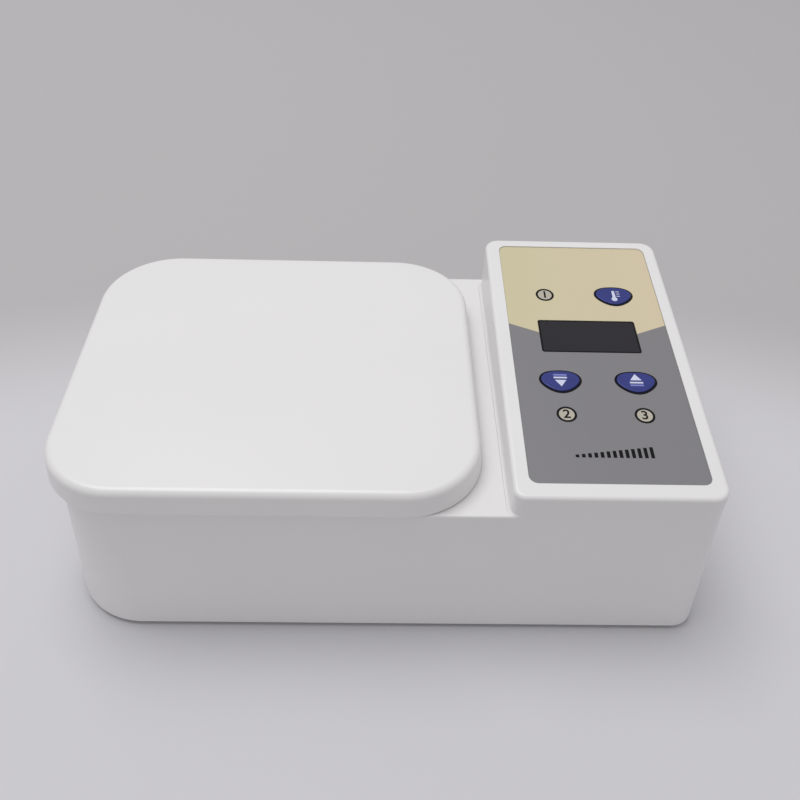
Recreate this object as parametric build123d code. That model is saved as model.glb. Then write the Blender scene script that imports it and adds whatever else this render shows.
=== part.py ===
from build123d import *
import math
import os

# A bench-top wax melter: a drafted shell, a lid over a pan with three wells, and a raised
# control tower with a sloping panel. Lengths are in millimetres and angles in degrees.
# Everything is drawn about the middle of the body, with the bench at Z = 0, the tower
# towards +X and the user towards -Y.

# Body shell, measured at deck level
body_width = 220.0
body_depth = 132.5
deck_height = 58.35
rim_height = 2.0
base_flare = 3.44
corner_left = 22.75
corner_right = 5.8
wall = 2.5
deck_thickness = 2.6
deck_edge_round = 0.8

# Control tower and its sloping panel
tower_width = 70.3
tower_draft = 0.3
tower_root = 5.0
tower_front_corner = 4.0
tower_rear_corner = 5.5
tower_edge_round = 1.5
tower_spare = 4.0
panel_front_rise = 9.35
panel_slope = 4.76
panel_thickness = 3.0

# Label film, in its recess: borders are from the edges of the sloping panel
label_depth = 0.9
label_thickness = 0.55
label_corner = 3.0
label_fit = 0.15
border_left = 5.45
border_right = 5.2
border_front = 6.1
border_rear = 4.8

# Display window and what lies under it
window_width = 37.0
window_length = 17.3
window_left = 16.5
window_front = 66.5
window_corner = 1.0
window_fit = 0.15
window_sink = 0.05
window_flange = 1.6
window_flange_thickness = 1.2
display_gap = 0.3
display_width = 37.6
display_length = 19.0
display_height = 8.0
digit_pitch = 11.7
digit_row = 6.0
digit_column = 3.2
bar_length = 5.4
side_bar_length = 4.8
bar_width = 1.1
bar_depth = 0.3

# Keys: the outline is given in halves of the width and length
key_width = 13.7
key_length = 9.6
key_half_outline = [(0.0, 1.0), (0.45, 0.94), (0.91, 0.57), (1.0, 0.24), (0.72, -0.53), (0.0, -1.0)]
key_fit = 0.2
key_hole_fit = 0.3
key_proud = 0.3
key_edge_round = 0.3
key_flange = 1.2
key_flange_thickness = 0.8
key_stop_gap = 0.05
key_stem_radius = 2.2
key_travel = 0.5
key_places = {"down": (21.3, 51.7), "up": (48.4, 51.6), "unit": (48.2, 98.2)}

# Key switches on the display board
switch_size = 6.0
switch_height = 3.6
plunger_radius = 1.75
plunger_reach = 1.6
plunger_depth = 2.2
plunger_fit = 0.05
plunger_room = 0.1

# Indicator lamps under the ringed windows
lamp_places = [(21.1, 98.3), (21.4, 36.0), (48.5, 35.9)]
lamp_hole_radius = 2.2
lamp_radius = 1.5
lamp_length = 5.0
lamp_dome = 1.2
lamp_gap = 0.3
lamp_leg_radius = 0.25
lamp_leg_spacing = 1.27

# Display board, hung under the panel
board_thickness = 1.6
display_board_left = 6.5
display_board_right = 63.5
display_board_front = 29.0
display_board_rear = 113.0
display_boss_inset = 4.5
display_boss_radius = 3.0
small_screw_radius = 1.1
thread_fit = 0.03
small_screw_head = 2.2
small_screw_head_height = 1.3
small_screw_bite = 5.0
screw_end_gap = 0.5
head_round_share = 0.4
recess_length_share = 1.1
recess_width_share = 0.28

# Lid: it overhangs the body at the left and the front, stops short of the tower and all but
# reaches the rear edge; its flat top is a little smaller than its rim
lid_front_corner = 25.7
lid_rear_corner = 28.5
lid_flare = 1.0
lid_wall = 2.2
lid_top_rise = 9.69
lid_rim_gap = 0.5
lid_edge_round = 2.8
lid_side_overhang = 4.85
lid_front_overhang = 1.08
lid_tower_gap = 7.87
lid_rear_inset = 0.4
lid_rib_thickness = 2.0
lid_rib_fit = 0.5
lid_rib_lift = 0.9
lid_rib_spread = 0.28

# Melting pan: a flange with three wells of one depth
flange_side_inset = 13.34
flange_end_inset = 15.69
flange_corner = 14.0
flange_thickness = 3.0
flange_overlap = 6.0
flange_edge_round = 0.8
flange_fit = 0.6
well_wall = 2.2
well_floor = 2.8
well_depth = 29.0
well_draft = 4.0
well_corner = 9.0
well_foot_round = 3.0
well_outer_round = 3.0
well_gap = 6.5
well_clearance = 0.7
small_well_width = 38.7

# Seat of the pan in the deck
ledge_drop = 2.5
lip_height = 2.4
lip_width = 2.4
gasket_thickness = 1.0
gasket_inset = 0.4
pan_stud_radius = 1.5
pan_stud_bite = 2.2
pan_stud_hole = 1.75
pan_stud_inset = 3.0
pan_stud_spread = 0.3
pan_nut_flats = 5.5
pan_nut_height = 2.4
pan_washer_radius = 3.4
pan_washer_thickness = 0.5
pan_stud_tail = 1.0

# Heater stack under the pan
heater_side_inset = 1.0
heater_end_inset = 2.0
heater_corner = 6.0
heater_thickness = 1.5
clamp_plate_thickness = 2.0
clamp_plate_inset = 1.0
insulation_thickness = 6.0
shield_thickness = 0.8
shield_gap = 0.5
shield_wall_height = 5.5
stack_stud_side_inset = 10.0
stack_stud_end_inset = 8.0
stack_stud_radius = 2.0
stack_stud_hole = 2.3
stack_stud_bite = 3.0
stack_pad_radius = 4.0
stack_pad_height = 1.4
stack_pad_hole = 4.5
stack_nut_flats = 7.0
stack_nut_height = 3.2
stack_stud_tail = 1.2

# Temperature sensor: a ring lug screwed to a boss under the large well
sensor_boss_radius = 4.5
sensor_boss_height = 5.6
sensor_hole_radius = 5.2
sensor_lug_radius = 4.0
sensor_lug_thickness = 1.0
sensor_barrel_radius = 2.0
sensor_barrel_length = 8.0
sensor_slot_width = 12.0
sensor_slot_length = 36.0
shield_slot_width = 10.0

# Thermal cut-out: a round bimetal switch on the clamp plate
cutout_radius = 8.0
cutout_height = 10.5
cutout_flange_thickness = 1.0
cutout_ear_spacing = 24.0
cutout_ear_radius = 3.6
cutout_room = 1.2
cutout_tab_width = 2.8
cutout_tab_thickness = 0.8
cutout_tab_length = 10.0
cutout_tab_spacing = 8.0
cutout_tab_drop = 1.8
cutout_tab_root = 2.0

# Base plate, its screws and feet
base_gap = 0.35
base_lift = 2.4
base_thickness = 2.4
boss_radius = 4.0
boss_inset = 5.5
boss_left_inset = 30.0
boss_tower_gap = 15.7
base_screw_radius = 1.75
base_screw_head = 3.2
base_screw_head_height = 1.8
base_screw_sink = 1.4
base_screw_bite = 9.0
base_screw_hole = 2.0
base_screw_room = 0.4
foot_radius = 7.0
foot_round = 1.0
foot_stem_radius = 2.0
foot_stem_height = 2.0
foot_stem_fit = 0.1
foot_inset_x = 15.0
foot_inset_y = 22.0
vent_width = 3.0
vent_length = 26.0
vent_pitch = 9.0
vent_columns = 9
vent_row_spread = 18.0
rear_vent_width = 2.6
rear_vent_height = 20.0
rear_vent_pitch = 7.0
rear_vent_count = 10
rear_vent_low = 20.0

# Rear pocket with the mains inlet and the rocker switch
pocket_tower_lead = 4.7
pocket_width = 58.0
pocket_low = 13.0
pocket_height = 34.0
pocket_depth = 1.95
inlet_inset = 17.0
inlet_flange_width = 30.8
inlet_flange_height = 24.0
inlet_flange_thickness = 2.0
inlet_flange_corner = 2.5
inlet_body_width = 27.0
inlet_body_height = 19.6
inlet_body_length = 16.5
inlet_fit = 0.2
socket_width = 24.4
socket_height = 16.6
socket_chamfer = 4.0
socket_depth = 15.5
inlet_pin_width = 2.0
inlet_pin_height = 4.0
inlet_pin_sink = 1.5
inlet_pin_spacing = 14.0
inlet_earth_rise = 4.0
inlet_tab_length = 7.5
inlet_tab_thickness = 0.8
inlet_tab_width = 4.8

# Rocker switch
rocker_inset = 12.0
bezel_width = 15.0
bezel_height = 21.0
bezel_thickness = 1.8
bezel_corner = 1.2
bezel_round = 0.5
switch_body_width = 12.8
switch_body_height = 19.2
switch_body_length = 12.0
switch_cavity_width = 11.0
switch_cavity_height = 17.0
switch_cavity_depth = 7.5
rocker_half_height = 8.0
rocker_half_width = 5.2
rocker_pivot_sink = 0.6
rocker_end_rise = 2.2
rocker_middle_rise = 1.3
rocker_underside = 2.6
rocker_pin_radius = 1.25
rocker_pin_fit = 0.05
rocker_pin_length = 12.4
rocker_pin_end_gap = 0.1
rocker_foot_half = 4.4
rocker_edge_round = 0.5
rocker_swing = 22.0
rocker_tab_length = 7.0
rocker_tab_spacing = 8.0
rocker_tab_root = 2.0

# Power board and its parts: places are measured from the board's left front corner
power_board_tower_inset = 0.3
power_board_front_inset = 16.25
power_board_width = 54.0
power_board_length = 88.0
standoff_height = 6.0
standoff_radius = 3.2
standoff_inset = 4.0
transformer_place = (32.0, 20.0)
core_width = 32.0
core_length = 20.0
core_height = 25.0
core_limb = 7.0
core_window = 6.0
winding_length = 28.0
winding_gap = 0.3
winding_round = 2.0
relay_place = (24.5, 46.0)
relay_size = (19.0, 15.5, 15.5)
relay_round = 1.0
capacitor_place = (45.5, 56.0)
capacitor_radius = 5.0
capacitor_height = 16.0
capacitor_round = 0.8
fuse_place = (33.0, 64.5)
fuse_length = 20.0
fuse_radius = 2.6
fuse_glass_radius = 2.4
fuse_cap_length = 5.5
fuse_lift = 4.5
clip_width = 5.0
clip_thickness = 0.5
clip_mouth_share = 0.8
clip_neck_share = 0.6
mains_terminals_place = (18.0, 75.5)
mains_terminals_size = (30.0, 9.0, 11.0)
heater_terminals_place = (6.5, 31.5)
heater_terminals_size = (9.0, 44.0, 10.5)
terminal_pitch = 5.0
terminal_screw_radius = 1.5
terminal_screw_depth = 1.5
terminal_entry_rise = 5.0
entry_depth = 4.0
entry_fit = 0.2

# Internal leads and the ribbon cable
mains_lead_radius = 1.2
heater_lead_radius = 1.1
sensor_lead_radius = 0.8
lead_bite = 3.0
lead_bend = 5.0
heater_lead_run = 4.0
cutout_lead_run = 2.0
sensor_lead_bend = 3.0
sensor_lead_reach = 7.0
sensor_lead_run = 6.0
switch_lead_reach = 10.0
mains_lead_bend = 2.0
mains_lead_corner = 6.0
neutral_lead_drop = 1.0
earth_tag_radius = 3.2
earth_tag_thickness = 0.6
earth_barrel_length = 6.0
earth_neck_root = 0.5
earth_lead_bend = 4.0
earth_lead_reach = 8.0
earth_lead_side = 12.0
earth_lead_rise = 6.0
earth_lead_run = 10.0
earth_lead_lap = 1.0
ribbon_across = 47.3
ribbon_width = 12.0
ribbon_thickness = 1.0
ribbon_place = 58.0
ribbon_jog = 5.0
ribbon_bend = 6.0
connector_width = 15.0
connector_length = 5.0
connector_height = 6.5

# How far cutting shapes run past a face, how far an added boss is rooted in what carries it,
# and a length that is longer than anything here
over = 1.0
root = 1.0
far = 300.0

# Worked out from the sizes above
half_width = body_width / 2
half_depth = body_depth / 2
draft = math.degrees(math.atan(base_flare / (deck_height - rim_height)))
tower_left = half_width - tower_width
panel_front_height = deck_height + panel_front_rise
tower_top = panel_front_height + body_depth * math.tan(math.radians(panel_slope)) + tower_spare


def flare_at(height, angle=draft):
    """How much further out than at deck level each wall is at a height."""
    return (deck_height - height) * math.tan(math.radians(angle))


panel_front_y = -half_depth - flare_at(panel_front_height, tower_draft)
panel = Plane(
    origin=(tower_left, panel_front_y, panel_front_height),
    x_dir=(1, 0, 0),
    z_dir=(0, -math.sin(math.radians(panel_slope)), math.cos(math.radians(panel_slope))),
)
panel_length = -2 * panel_front_y / math.cos(math.radians(panel_slope))
panel_width = tower_width + flare_at(panel_front_height, tower_draft)

lid_rim_height = deck_height + lid_rim_gap
lid_top_height = deck_height + lid_top_rise
lid_width = body_width - tower_width - lid_tower_gap + lid_side_overhang - 2 * lid_flare
lid_depth = body_depth - lid_rear_inset + lid_front_overhang - 2 * lid_flare
pan_x = -half_width - lid_side_overhang + lid_width / 2 + lid_flare
pan_y = -half_depth - lid_front_overhang + lid_depth / 2 + lid_flare
ledge_height = deck_height - ledge_drop
lip_top = deck_height + lip_height
flange_bottom = ledge_height + gasket_thickness
flange_top = flange_bottom + flange_thickness
pan_bottom = flange_top - well_depth - well_floor
flange_width = lid_width - 2 * flange_side_inset
flange_depth = lid_depth - 2 * flange_end_inset
opening_width = flange_width - 2 * flange_overlap
opening_depth = flange_depth - 2 * flange_overlap
heater_width = opening_width - 2 * heater_side_inset
heater_depth = opening_depth - 2 * heater_end_inset

base_top = base_lift + base_thickness
power_board_left = tower_left + power_board_tower_inset
power_board_front = power_board_front_inset - half_depth
power_board_low = base_top + standoff_height
power_board_top = power_board_low + board_thickness
lead_height = power_board_top + terminal_entry_rise
pocket_left = tower_left - pocket_tower_lead
pocket_face = half_depth - pocket_depth
pocket_middle_z = pocket_low + pocket_height / 2
inlet_x = pocket_left + inlet_inset
rocker_x = pocket_left + pocket_width - rocker_inset
ribbon_x = tower_left + ribbon_across

label_width = panel_width - border_left - border_right
label_length = panel_length - border_front - border_rear
label_floor = -label_depth
film_top = label_floor + label_thickness
display_top = -panel_thickness - window_flange_thickness - display_gap
display_board_top = display_top - display_height
display_board_low = display_board_top - board_thickness

small_screw_hole = small_screw_radius + thread_fit
left_reach = max(lid_side_overhang, base_flare)
body_shift = (left_reach - base_flare) / 2


def block(x_low, x_high, y_low, y_high, z_low, z_high):
    """A box between two corners."""
    middle = Pos((x_low + x_high) / 2, (y_low + y_high) / 2, (z_low + z_high) / 2)
    return middle * Box(x_high - x_low, y_high - y_low, z_high - z_low)


def slab(outline, low, high):
    """An outline on the XY plane, raised between two heights."""
    return extrude(Pos(0, 0, low) * outline, high - low)


def post(x, y, radius, low, high):
    """An upright round post."""
    return Pos(x, y, (low + high) / 2) * Cylinder(radius, high - low)


def hexagon(x, y, flats, low, high):
    """An upright six-sided prism."""
    return slab(Pos(x, y) * RegularPolygon(flats / 2, 6, major_radius=False), low, high)


def group(shapes):
    """Separate solids of one node."""
    return Compound([solid for shape in shapes for solid in shape.solids()])


def screw(radius, length, head_radius, head_height):
    """A pan-head screw with a cross recess, its head above Z = 0 and its shank below."""
    head = Pos(0, 0, head_height / 2) * Cylinder(head_radius, head_height)
    head = fillet(head.edges().group_by(Axis.Z)[-1], head_height * head_round_share)
    recess = Box(head_radius * recess_length_share, head_radius * recess_width_share, head_height)
    head -= Pos(0, 0, head_height) * (recess + Rot(0, 0, 90) * recess)
    return head + Pos(0, 0, -length / 2) * Cylinder(radius, length)


def tube(points, radius, bend):
    """A round lead along straight runs with rounded corners."""
    path = FilletPolyline(*points, radius=bend) if len(points) > 2 else Line(*points)
    return sweep(Plane(origin=path @ 0, z_dir=path % 0) * Circle(radius), path=path)


def body_outline(grow):
    """Plan of the body at deck level, grown outwards on every side."""
    plan = Rectangle(body_width + 2 * grow, body_depth + 2 * grow)
    plan = fillet(plan.vertices().group_by(Axis.X)[0], corner_left + grow)
    return fillet(plan.vertices().group_by(Axis.X)[-1], corner_right + grow)


def drafted_block(inset, low, high, angle=draft):
    """The body's drafted form between two heights, set in from the outer wall."""
    outline = body_outline(flare_at(low, angle) - inset)
    return extrude(Pos(0, 0, low) * outline, high - low, taper=angle)


def above_panel(normal):
    """All the space above a plane that lies parallel to the panel."""
    return panel * Pos(0, 0, normal + far / 2) * Box(far * 2, far * 2, far)


def on_panel(u, s, n):
    """A place in panel axes: across, up the slope, and square out of it."""
    return panel * Pos(u, s, n)


def panel_slab(outline, low, high):
    """An outline drawn on the panel, raised between two distances out of it."""
    return panel * extrude(Pos(0, 0, low) * outline, high - low)


def window_outline(grow):
    """The display window's outline on the panel."""
    middle = Pos(window_left + window_width / 2, window_front + window_length / 2)
    size = (window_width + 2 * grow, window_length + 2 * grow)
    return middle * RectangleRounded(*size, window_corner + max(grow, 0))


def key_outline(name, grow):
    """A key's shield-shaped outline on the panel."""
    half = [(x * (key_width / 2 + grow), y * (key_length / 2 + grow)) for x, y in key_half_outline]
    mirrored = [(-x, y) for x, y in reversed(half[1:-1])]
    return Pos(*key_places[name]) * make_face(Spline(half + mirrored, periodic=True))


def label_outline(grow):
    """The label's outline on the panel."""
    middle = Pos(border_left + label_width / 2, border_front + label_length / 2)
    return middle * RectangleRounded(label_width + 2 * grow, label_length + 2 * grow, label_corner + grow)


def pan_outline(width, depth, corner):
    """A rounded rectangle about the pan's middle."""
    return Pos(pan_x, pan_y) * RectangleRounded(width, depth, corner)


def flange_outline(grow):
    """The pan flange's outline in plan."""
    return pan_outline(flange_width + 2 * grow, flange_depth + 2 * grow, flange_corner + grow)


def opening_outline(grow):
    """The deck opening's outline in plan, under the flange."""
    corner = flange_corner - flange_overlap + grow
    return pan_outline(opening_width + 2 * grow, opening_depth + 2 * grow, corner)


def display_boss_places():
    """The four fixings of the display board, in panel axes."""
    across = (display_board_left + display_boss_inset, display_board_right - display_boss_inset)
    along = (display_board_front + display_boss_inset, display_board_rear - display_boss_inset)
    return [(u, s) for u in across for s in along]


def base_boss_places():
    """The six fixings of the base plate."""
    columns = (boss_left_inset - half_width, tower_left - boss_tower_gap, half_width - boss_inset)
    return [(x, side * (half_depth - boss_inset)) for x in columns for side in (-1, 1)]


def pan_stud_places():
    """The eight studs that hold the pan's flange to the ledge."""
    edge_x = flange_width / 2 - pan_stud_inset
    edge_y = flange_depth / 2 - pan_stud_inset
    spread_x = flange_width * pan_stud_spread
    spread_y = flange_depth * pan_stud_spread
    sides = [(x * edge_x, y * spread_y) for x in (-1, 1) for y in (-1, 1)]
    ends = [(x * spread_x, y * edge_y) for x in (-1, 1) for y in (-1, 1)]
    return [(pan_x + x, pan_y + y) for x, y in sides + ends]


def stack_stud_places():
    """The four studs that press the heater against the pan."""
    reach_x = heater_width / 2 - stack_stud_side_inset
    reach_y = heater_depth / 2 - stack_stud_end_inset
    return [(pan_x + x * reach_x, pan_y + y * reach_y) for x in (-1, 1) for y in (-1, 1)]


def foot_places():
    """The middles of the four feet."""
    x = half_width - foot_inset_x
    y = half_depth - foot_inset_y
    return {
        "front_left": (-x, -y),
        "front_right": (x, -y),
        "rear_left": (-x, y),
        "rear_right": (x, y),
    }


def standoff_places():
    """The four fixings of the power board."""
    across = (standoff_inset, power_board_width - standoff_inset)
    along = (standoff_inset, power_board_length - standoff_inset)
    return [(power_board_left + x, power_board_front + y) for x in across for y in along]


def on_board(place):
    """A place on the power board, from its left front corner."""
    return power_board_left + place[0], power_board_front + place[1]


# Wells: inner edges at the flange's top, from the pan's own middle
well_half_x = opening_width / 2 - well_clearance - well_wall
well_half_y = opening_depth / 2 - well_clearance - well_wall
small_well_left = well_half_x - small_well_width
large_well_right = small_well_left - well_gap
wells = {
    "large": (-well_half_x, large_well_right, -well_half_y, well_half_y),
    "front": (small_well_left, well_half_x, -well_half_y, -well_gap / 2),
    "rear": (small_well_left, well_half_x, well_gap / 2, well_half_y),
}
large_well_x = pan_x + (wells["large"][0] + wells["large"][1]) / 2
small_well_x = pan_x + (wells["front"][0] + wells["front"][1]) / 2
small_well_y = pan_y + (wells["front"][2] + wells["front"][3]) / 2


def well_form(name, grow, depth, foot_round):
    """A well's tapered form below the flange's top, with rounded foot edges."""
    x_low, x_high, y_low, y_high = wells[name]
    plan = RectangleRounded(x_high - x_low + 2 * grow, y_high - y_low + 2 * grow, well_corner + grow)
    top = Pos(pan_x + (x_low + x_high) / 2, pan_y + (y_low + y_high) / 2, flange_top) * plan
    form = extrude(top, depth, dir=(0, 0, -1), taper=well_draft)
    return fillet(form.edges().group_by(Axis.Z)[0], foot_round)


def tower_form():
    """The control tower's outer form, rooted a little way into the deck."""
    form = drafted_block(0, deck_height - tower_root, tower_top, tower_draft)
    form &= block(tower_left, far, -far, far, 0, far)
    form = fillet(form.edges().group_by(Axis.X)[0].sort_by(Axis.Y)[0], tower_front_corner)
    form = fillet(form.edges().group_by(Axis.X)[0].sort_by(Axis.Y)[-1], tower_rear_corner)
    form -= above_panel(0)
    return fillet(form.faces().sort_by(Axis.Z)[-1].edges(), tower_edge_round)


def housing_shell():
    """The moulded shell, hollow and open below, before its details."""
    plain = drafted_block(0, rim_height, deck_height)
    body = fillet(plain.edges().group_by(Axis.Z)[-1], deck_edge_round)
    under_tower = tower_left + max(tower_front_corner, tower_rear_corner)
    body += plain & block(under_tower, far, -far, far, deck_height - tower_root, far)
    hollow = drafted_block(wall, rim_height - over, deck_height - deck_thickness)
    tower_hollow = drafted_block(wall, deck_height - deck_thickness - over, tower_top, tower_draft)
    tower_hollow &= block(tower_left + wall, far, -far, far, 0, far)
    tower_hollow -= above_panel(-panel_thickness)
    return body + tower_form() - hollow - tower_hollow


def add_pan_seat(shell):
    """The lip, ledge and opening that carry the pan."""
    shell += slab(flange_outline(flange_fit + lip_width), ledge_height - deck_thickness, lip_top)
    shell -= slab(flange_outline(flange_fit), ledge_height, far)
    shell -= slab(opening_outline(0), 0, far)
    for x, y in pan_stud_places():
        shell -= post(x, y, pan_stud_hole, 0, deck_height)
    return shell


def add_base_bosses(shell):
    """Bosses that the base plate is screwed to, trimmed to the shell's outer form."""
    bosses = Part()
    for x, y in base_boss_places():
        bosses += post(x, y, boss_radius, base_top, deck_height - deck_thickness / 2)
    shell += bosses & drafted_block(wall / 2, rim_height, deck_height)
    for x, y in base_boss_places():
        hole_top = base_top + base_screw_bite + over
        shell -= post(x, y, base_screw_radius + thread_fit, base_top - over, hole_top)
    return shell


def add_rear_pocket(shell):
    """The flat pocket for the inlet and the rocker switch, and the row of rear vents."""
    right = pocket_left + pocket_width
    high = pocket_low + pocket_height
    room = block(pocket_left - wall, right + wall, pocket_face - wall, far, pocket_low - wall, high + wall)
    shell += room & drafted_block(0, rim_height, deck_height)
    shell -= block(pocket_left, right, pocket_face, far, pocket_low, high)
    shell -= cut_through(inlet_x, inlet_body_width + 2 * inlet_fit, inlet_body_height + 2 * inlet_fit)
    shell -= cut_through(rocker_x, switch_body_width + 2 * inlet_fit, switch_body_height + 2 * inlet_fit)
    first = pan_x - (rear_vent_count - 1) * rear_vent_pitch / 2
    slot = SlotOverall(rear_vent_height, rear_vent_width, rotation=90)
    for index in range(rear_vent_count):
        middle = Pos(first + index * rear_vent_pitch, half_depth, rear_vent_low + rear_vent_height / 2)
        shell -= extrude(middle * Rot(90, 0, 0) * slot, 2 * wall, both=True)
    return shell


def cut_through(x, width, height):
    """A rectangular cut-out through the rear pocket's face."""
    low = pocket_middle_z - height / 2
    return block(x - width / 2, x + width / 2, pocket_face - 3 * wall, far, low, low + height)


def add_panel_details(shell):
    """Recess, window, key and lamp openings, and the bosses for the display board."""
    for u, s in display_boss_places():
        depth = display_board_top + panel_thickness
        shell += on_panel(u, s, -panel_thickness + depth / 2) * Cylinder(display_boss_radius, -depth)
    shell -= panel_slab(label_outline(label_fit), label_floor, far)
    shell -= panel_slab(window_outline(0), -2 * panel_thickness, far)
    for name in key_places:
        shell -= panel_slab(key_outline(name, key_hole_fit), -2 * panel_thickness, far)
    for u, s in lamp_places:
        shell -= on_panel(u, s, -panel_thickness) * Cylinder(lamp_hole_radius, 2 * panel_thickness)
    for u, s in display_boss_places():
        middle = display_board_top + small_screw_bite / 2
        shell -= on_panel(u, s, middle) * Cylinder(small_screw_hole, small_screw_bite + over)
    return shell


def housing():
    shell = add_pan_seat(housing_shell())
    shell = add_base_bosses(shell)
    shell = add_rear_pocket(shell)
    return add_panel_details(shell)


def lid_form(inset, low, high):
    """The lid's drafted form, set in from its outer wall."""
    rise = lid_top_height - lid_rim_height
    grow = lid_flare * (lid_top_height - low) / rise - inset
    plan = Rectangle(lid_width + 2 * grow, lid_depth + 2 * grow)
    plan = fillet(plan.vertices().group_by(Axis.Y)[0], lid_front_corner + grow)
    plan = fillet(plan.vertices().group_by(Axis.Y)[-1], lid_rear_corner + grow)
    angle = math.degrees(math.atan(lid_flare / rise))
    return extrude(Pos(pan_x, pan_y, low) * plan, high - low, taper=angle)


def lid():
    """The lid: its short ribs stand on the lip and keep its rim just off the deck."""
    ceiling = lid_top_height - lid_wall
    shell = lid_form(0, lid_rim_height, lid_top_height)
    shell = fillet(shell.edges().group_by(Axis.Z)[-1], lid_edge_round)
    shell -= lid_form(lid_wall, lid_rim_height - over, ceiling)
    ribs = Part()
    reach_x = flange_width / 2 + flange_fit
    reach_y = flange_depth / 2 + flange_fit
    half = lid_rib_thickness / 2
    for side in (-1, 1):
        for spread in (-1, 1):
            y = pan_y + spread * lid_rib_spread * flange_depth
            x = pan_x + side * reach_x
            ribs += rib_block(x, side * far, y - half, y + half, ceiling, True)
            x = pan_x + spread * lid_rib_spread * flange_width
            y = pan_y + side * reach_y
            ribs += rib_block(y, side * far, x - half, x + half, ceiling, False)
    return shell + (ribs & lid_form(lid_wall / 2, lid_rim_height, lid_top_height - lid_wall / 2))


def rib_block(inner, outer, low, high, ceiling, along_x):
    """A stepped rib: over the lip it stands on it, outside the lip it reaches further down."""
    side = math.copysign(1, outer)
    lip_outer = inner + side * (lip_width + lid_rib_fit)
    upper = sorted((inner - side * lip_width, outer))
    lower = sorted((lip_outer, outer))
    top = ceiling + lid_wall / 2
    foot = deck_height + lid_rib_lift
    if along_x:
        return block(*upper, low, high, lip_top, top) + block(*lower, low, high, foot, top)
    return block(low, high, *upper, lip_top, top) + block(low, high, *lower, foot, top)


def melting_pan():
    """The cast pan: flange, three wells, and pads and a boss under its floor."""
    pan = slab(flange_outline(0), flange_bottom, flange_top)
    pan = fillet(pan.edges().group_by(Axis.Z)[-1], flange_edge_round)
    for name in wells:
        pan += well_form(name, well_wall, well_depth + well_floor, well_outer_round)
    for x, y in stack_stud_places():
        pan += post(x, y, stack_pad_radius, pan_bottom - stack_pad_height, pan_bottom + root)
    boss_foot = pan_bottom - sensor_boss_height
    pan += post(large_well_x, pan_y, sensor_boss_radius, boss_foot, pan_bottom + root)
    for name in wells:
        pan -= well_form(name, 0, well_depth, well_foot_round)
    for x, y in stack_stud_places():
        pad_foot = pan_bottom - stack_pad_height
        pan -= post(x, y, stack_stud_radius + thread_fit, pad_foot - over, pad_foot + stack_stud_bite)
    for x, y in pan_stud_places():
        pan -= post(x, y, pan_stud_radius + thread_fit, flange_bottom - over, flange_bottom + pan_stud_bite)
    return pan - post(large_well_x, pan_y, small_screw_hole, boss_foot - over, boss_foot + small_screw_bite)


def pan_gasket():
    ring = slab(flange_outline(-gasket_inset), ledge_height, flange_bottom)
    ring -= slab(opening_outline(gasket_inset), 0, far)
    for x, y in pan_stud_places():
        ring -= post(x, y, pan_stud_hole, 0, far)
    return ring


def pan_studs():
    ledge_low = ledge_height - deck_thickness
    low = ledge_low - pan_washer_thickness - pan_nut_height - pan_stud_tail
    high = flange_bottom + pan_stud_bite
    return group(post(x, y, pan_stud_radius, low, high) for x, y in pan_stud_places())


def pan_washers():
    high = ledge_height - deck_thickness
    low = high - pan_washer_thickness
    shapes = []
    for x, y in pan_stud_places():
        disc = post(x, y, pan_washer_radius, low, high)
        shapes.append(disc - post(x, y, pan_stud_radius + thread_fit, low - over, high + over))
    return group(shapes)


def pan_nuts():
    """Nuts under the ledge; the one that holds the earth tag sits lower by its thickness."""
    seat = ledge_height - deck_thickness - pan_washer_thickness
    shapes = []
    for x, y in pan_stud_places():
        high = seat - earth_tag_thickness if (x, y) == earth_place() else seat
        nut = hexagon(x, y, pan_nut_flats, high - pan_nut_height, high)
        shapes.append(nut - post(x, y, pan_stud_radius + thread_fit, 0, far))
    return group(shapes)


def earth_place():
    """The pan stud nearest to the inlet."""
    return max(pan_stud_places(), key=lambda place: place[0] + place[1])


# Heights of the heater stack, from the pan's floor down
heater_low = pan_bottom - heater_thickness
clamp_low = heater_low - clamp_plate_thickness
insulation_low = clamp_low - insulation_thickness
shield_low = insulation_low - shield_thickness


def stack_plate(inset, low, high, stud_hole, middle_hole):
    """A plate of the heater stack with its stud holes and its hole for the sensor boss."""
    outline = pan_outline(heater_width - 2 * inset, heater_depth - 2 * inset, heater_corner - inset)
    plate = slab(outline, low, high)
    for x, y in stack_stud_places():
        plate -= post(x, y, stud_hole, low - over, high + over)
    return plate - post(large_well_x, pan_y, middle_hole, low - over, high + over)


def heater_mat():
    return stack_plate(0, heater_low, pan_bottom, stack_pad_hole, sensor_hole_radius)


def cutout_screw_places():
    return [(small_well_x + side * cutout_ear_spacing / 2, small_well_y) for side in (-1, 1)]


def clamp_plate():
    plate = stack_plate(clamp_plate_inset, clamp_low, heater_low, stack_stud_hole, sensor_hole_radius)
    for x, y in cutout_screw_places():
        plate -= post(x, y, small_screw_hole, clamp_low - over, heater_low + over)
    return plate


def sensor_slot(width, low, high):
    """The slot that lets the sensor and its lead out through the stack."""
    outline = SlotOverall(sensor_slot_length, width)
    return slab(Pos(large_well_x + sensor_slot_length / 2 - width, pan_y) * outline, low, high)


def cutout_room_form(grow, low, high):
    """The room round the thermal cut-out and its ears."""
    room = post(small_well_x, small_well_y, cutout_radius + grow, low, high)
    half = cutout_ear_spacing / 2
    ears = SlotOverall(2 * (half + cutout_ear_radius + grow), 2 * (cutout_ear_radius + grow))
    return room + slab(Pos(small_well_x, small_well_y) * ears, low, high)


def insulation_pad():
    pad = stack_plate(0, insulation_low, clamp_low, stack_stud_hole, sensor_hole_radius)
    pad -= sensor_slot(sensor_slot_width, 0, far)
    return pad - cutout_room_form(cutout_room, 0, far)


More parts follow.
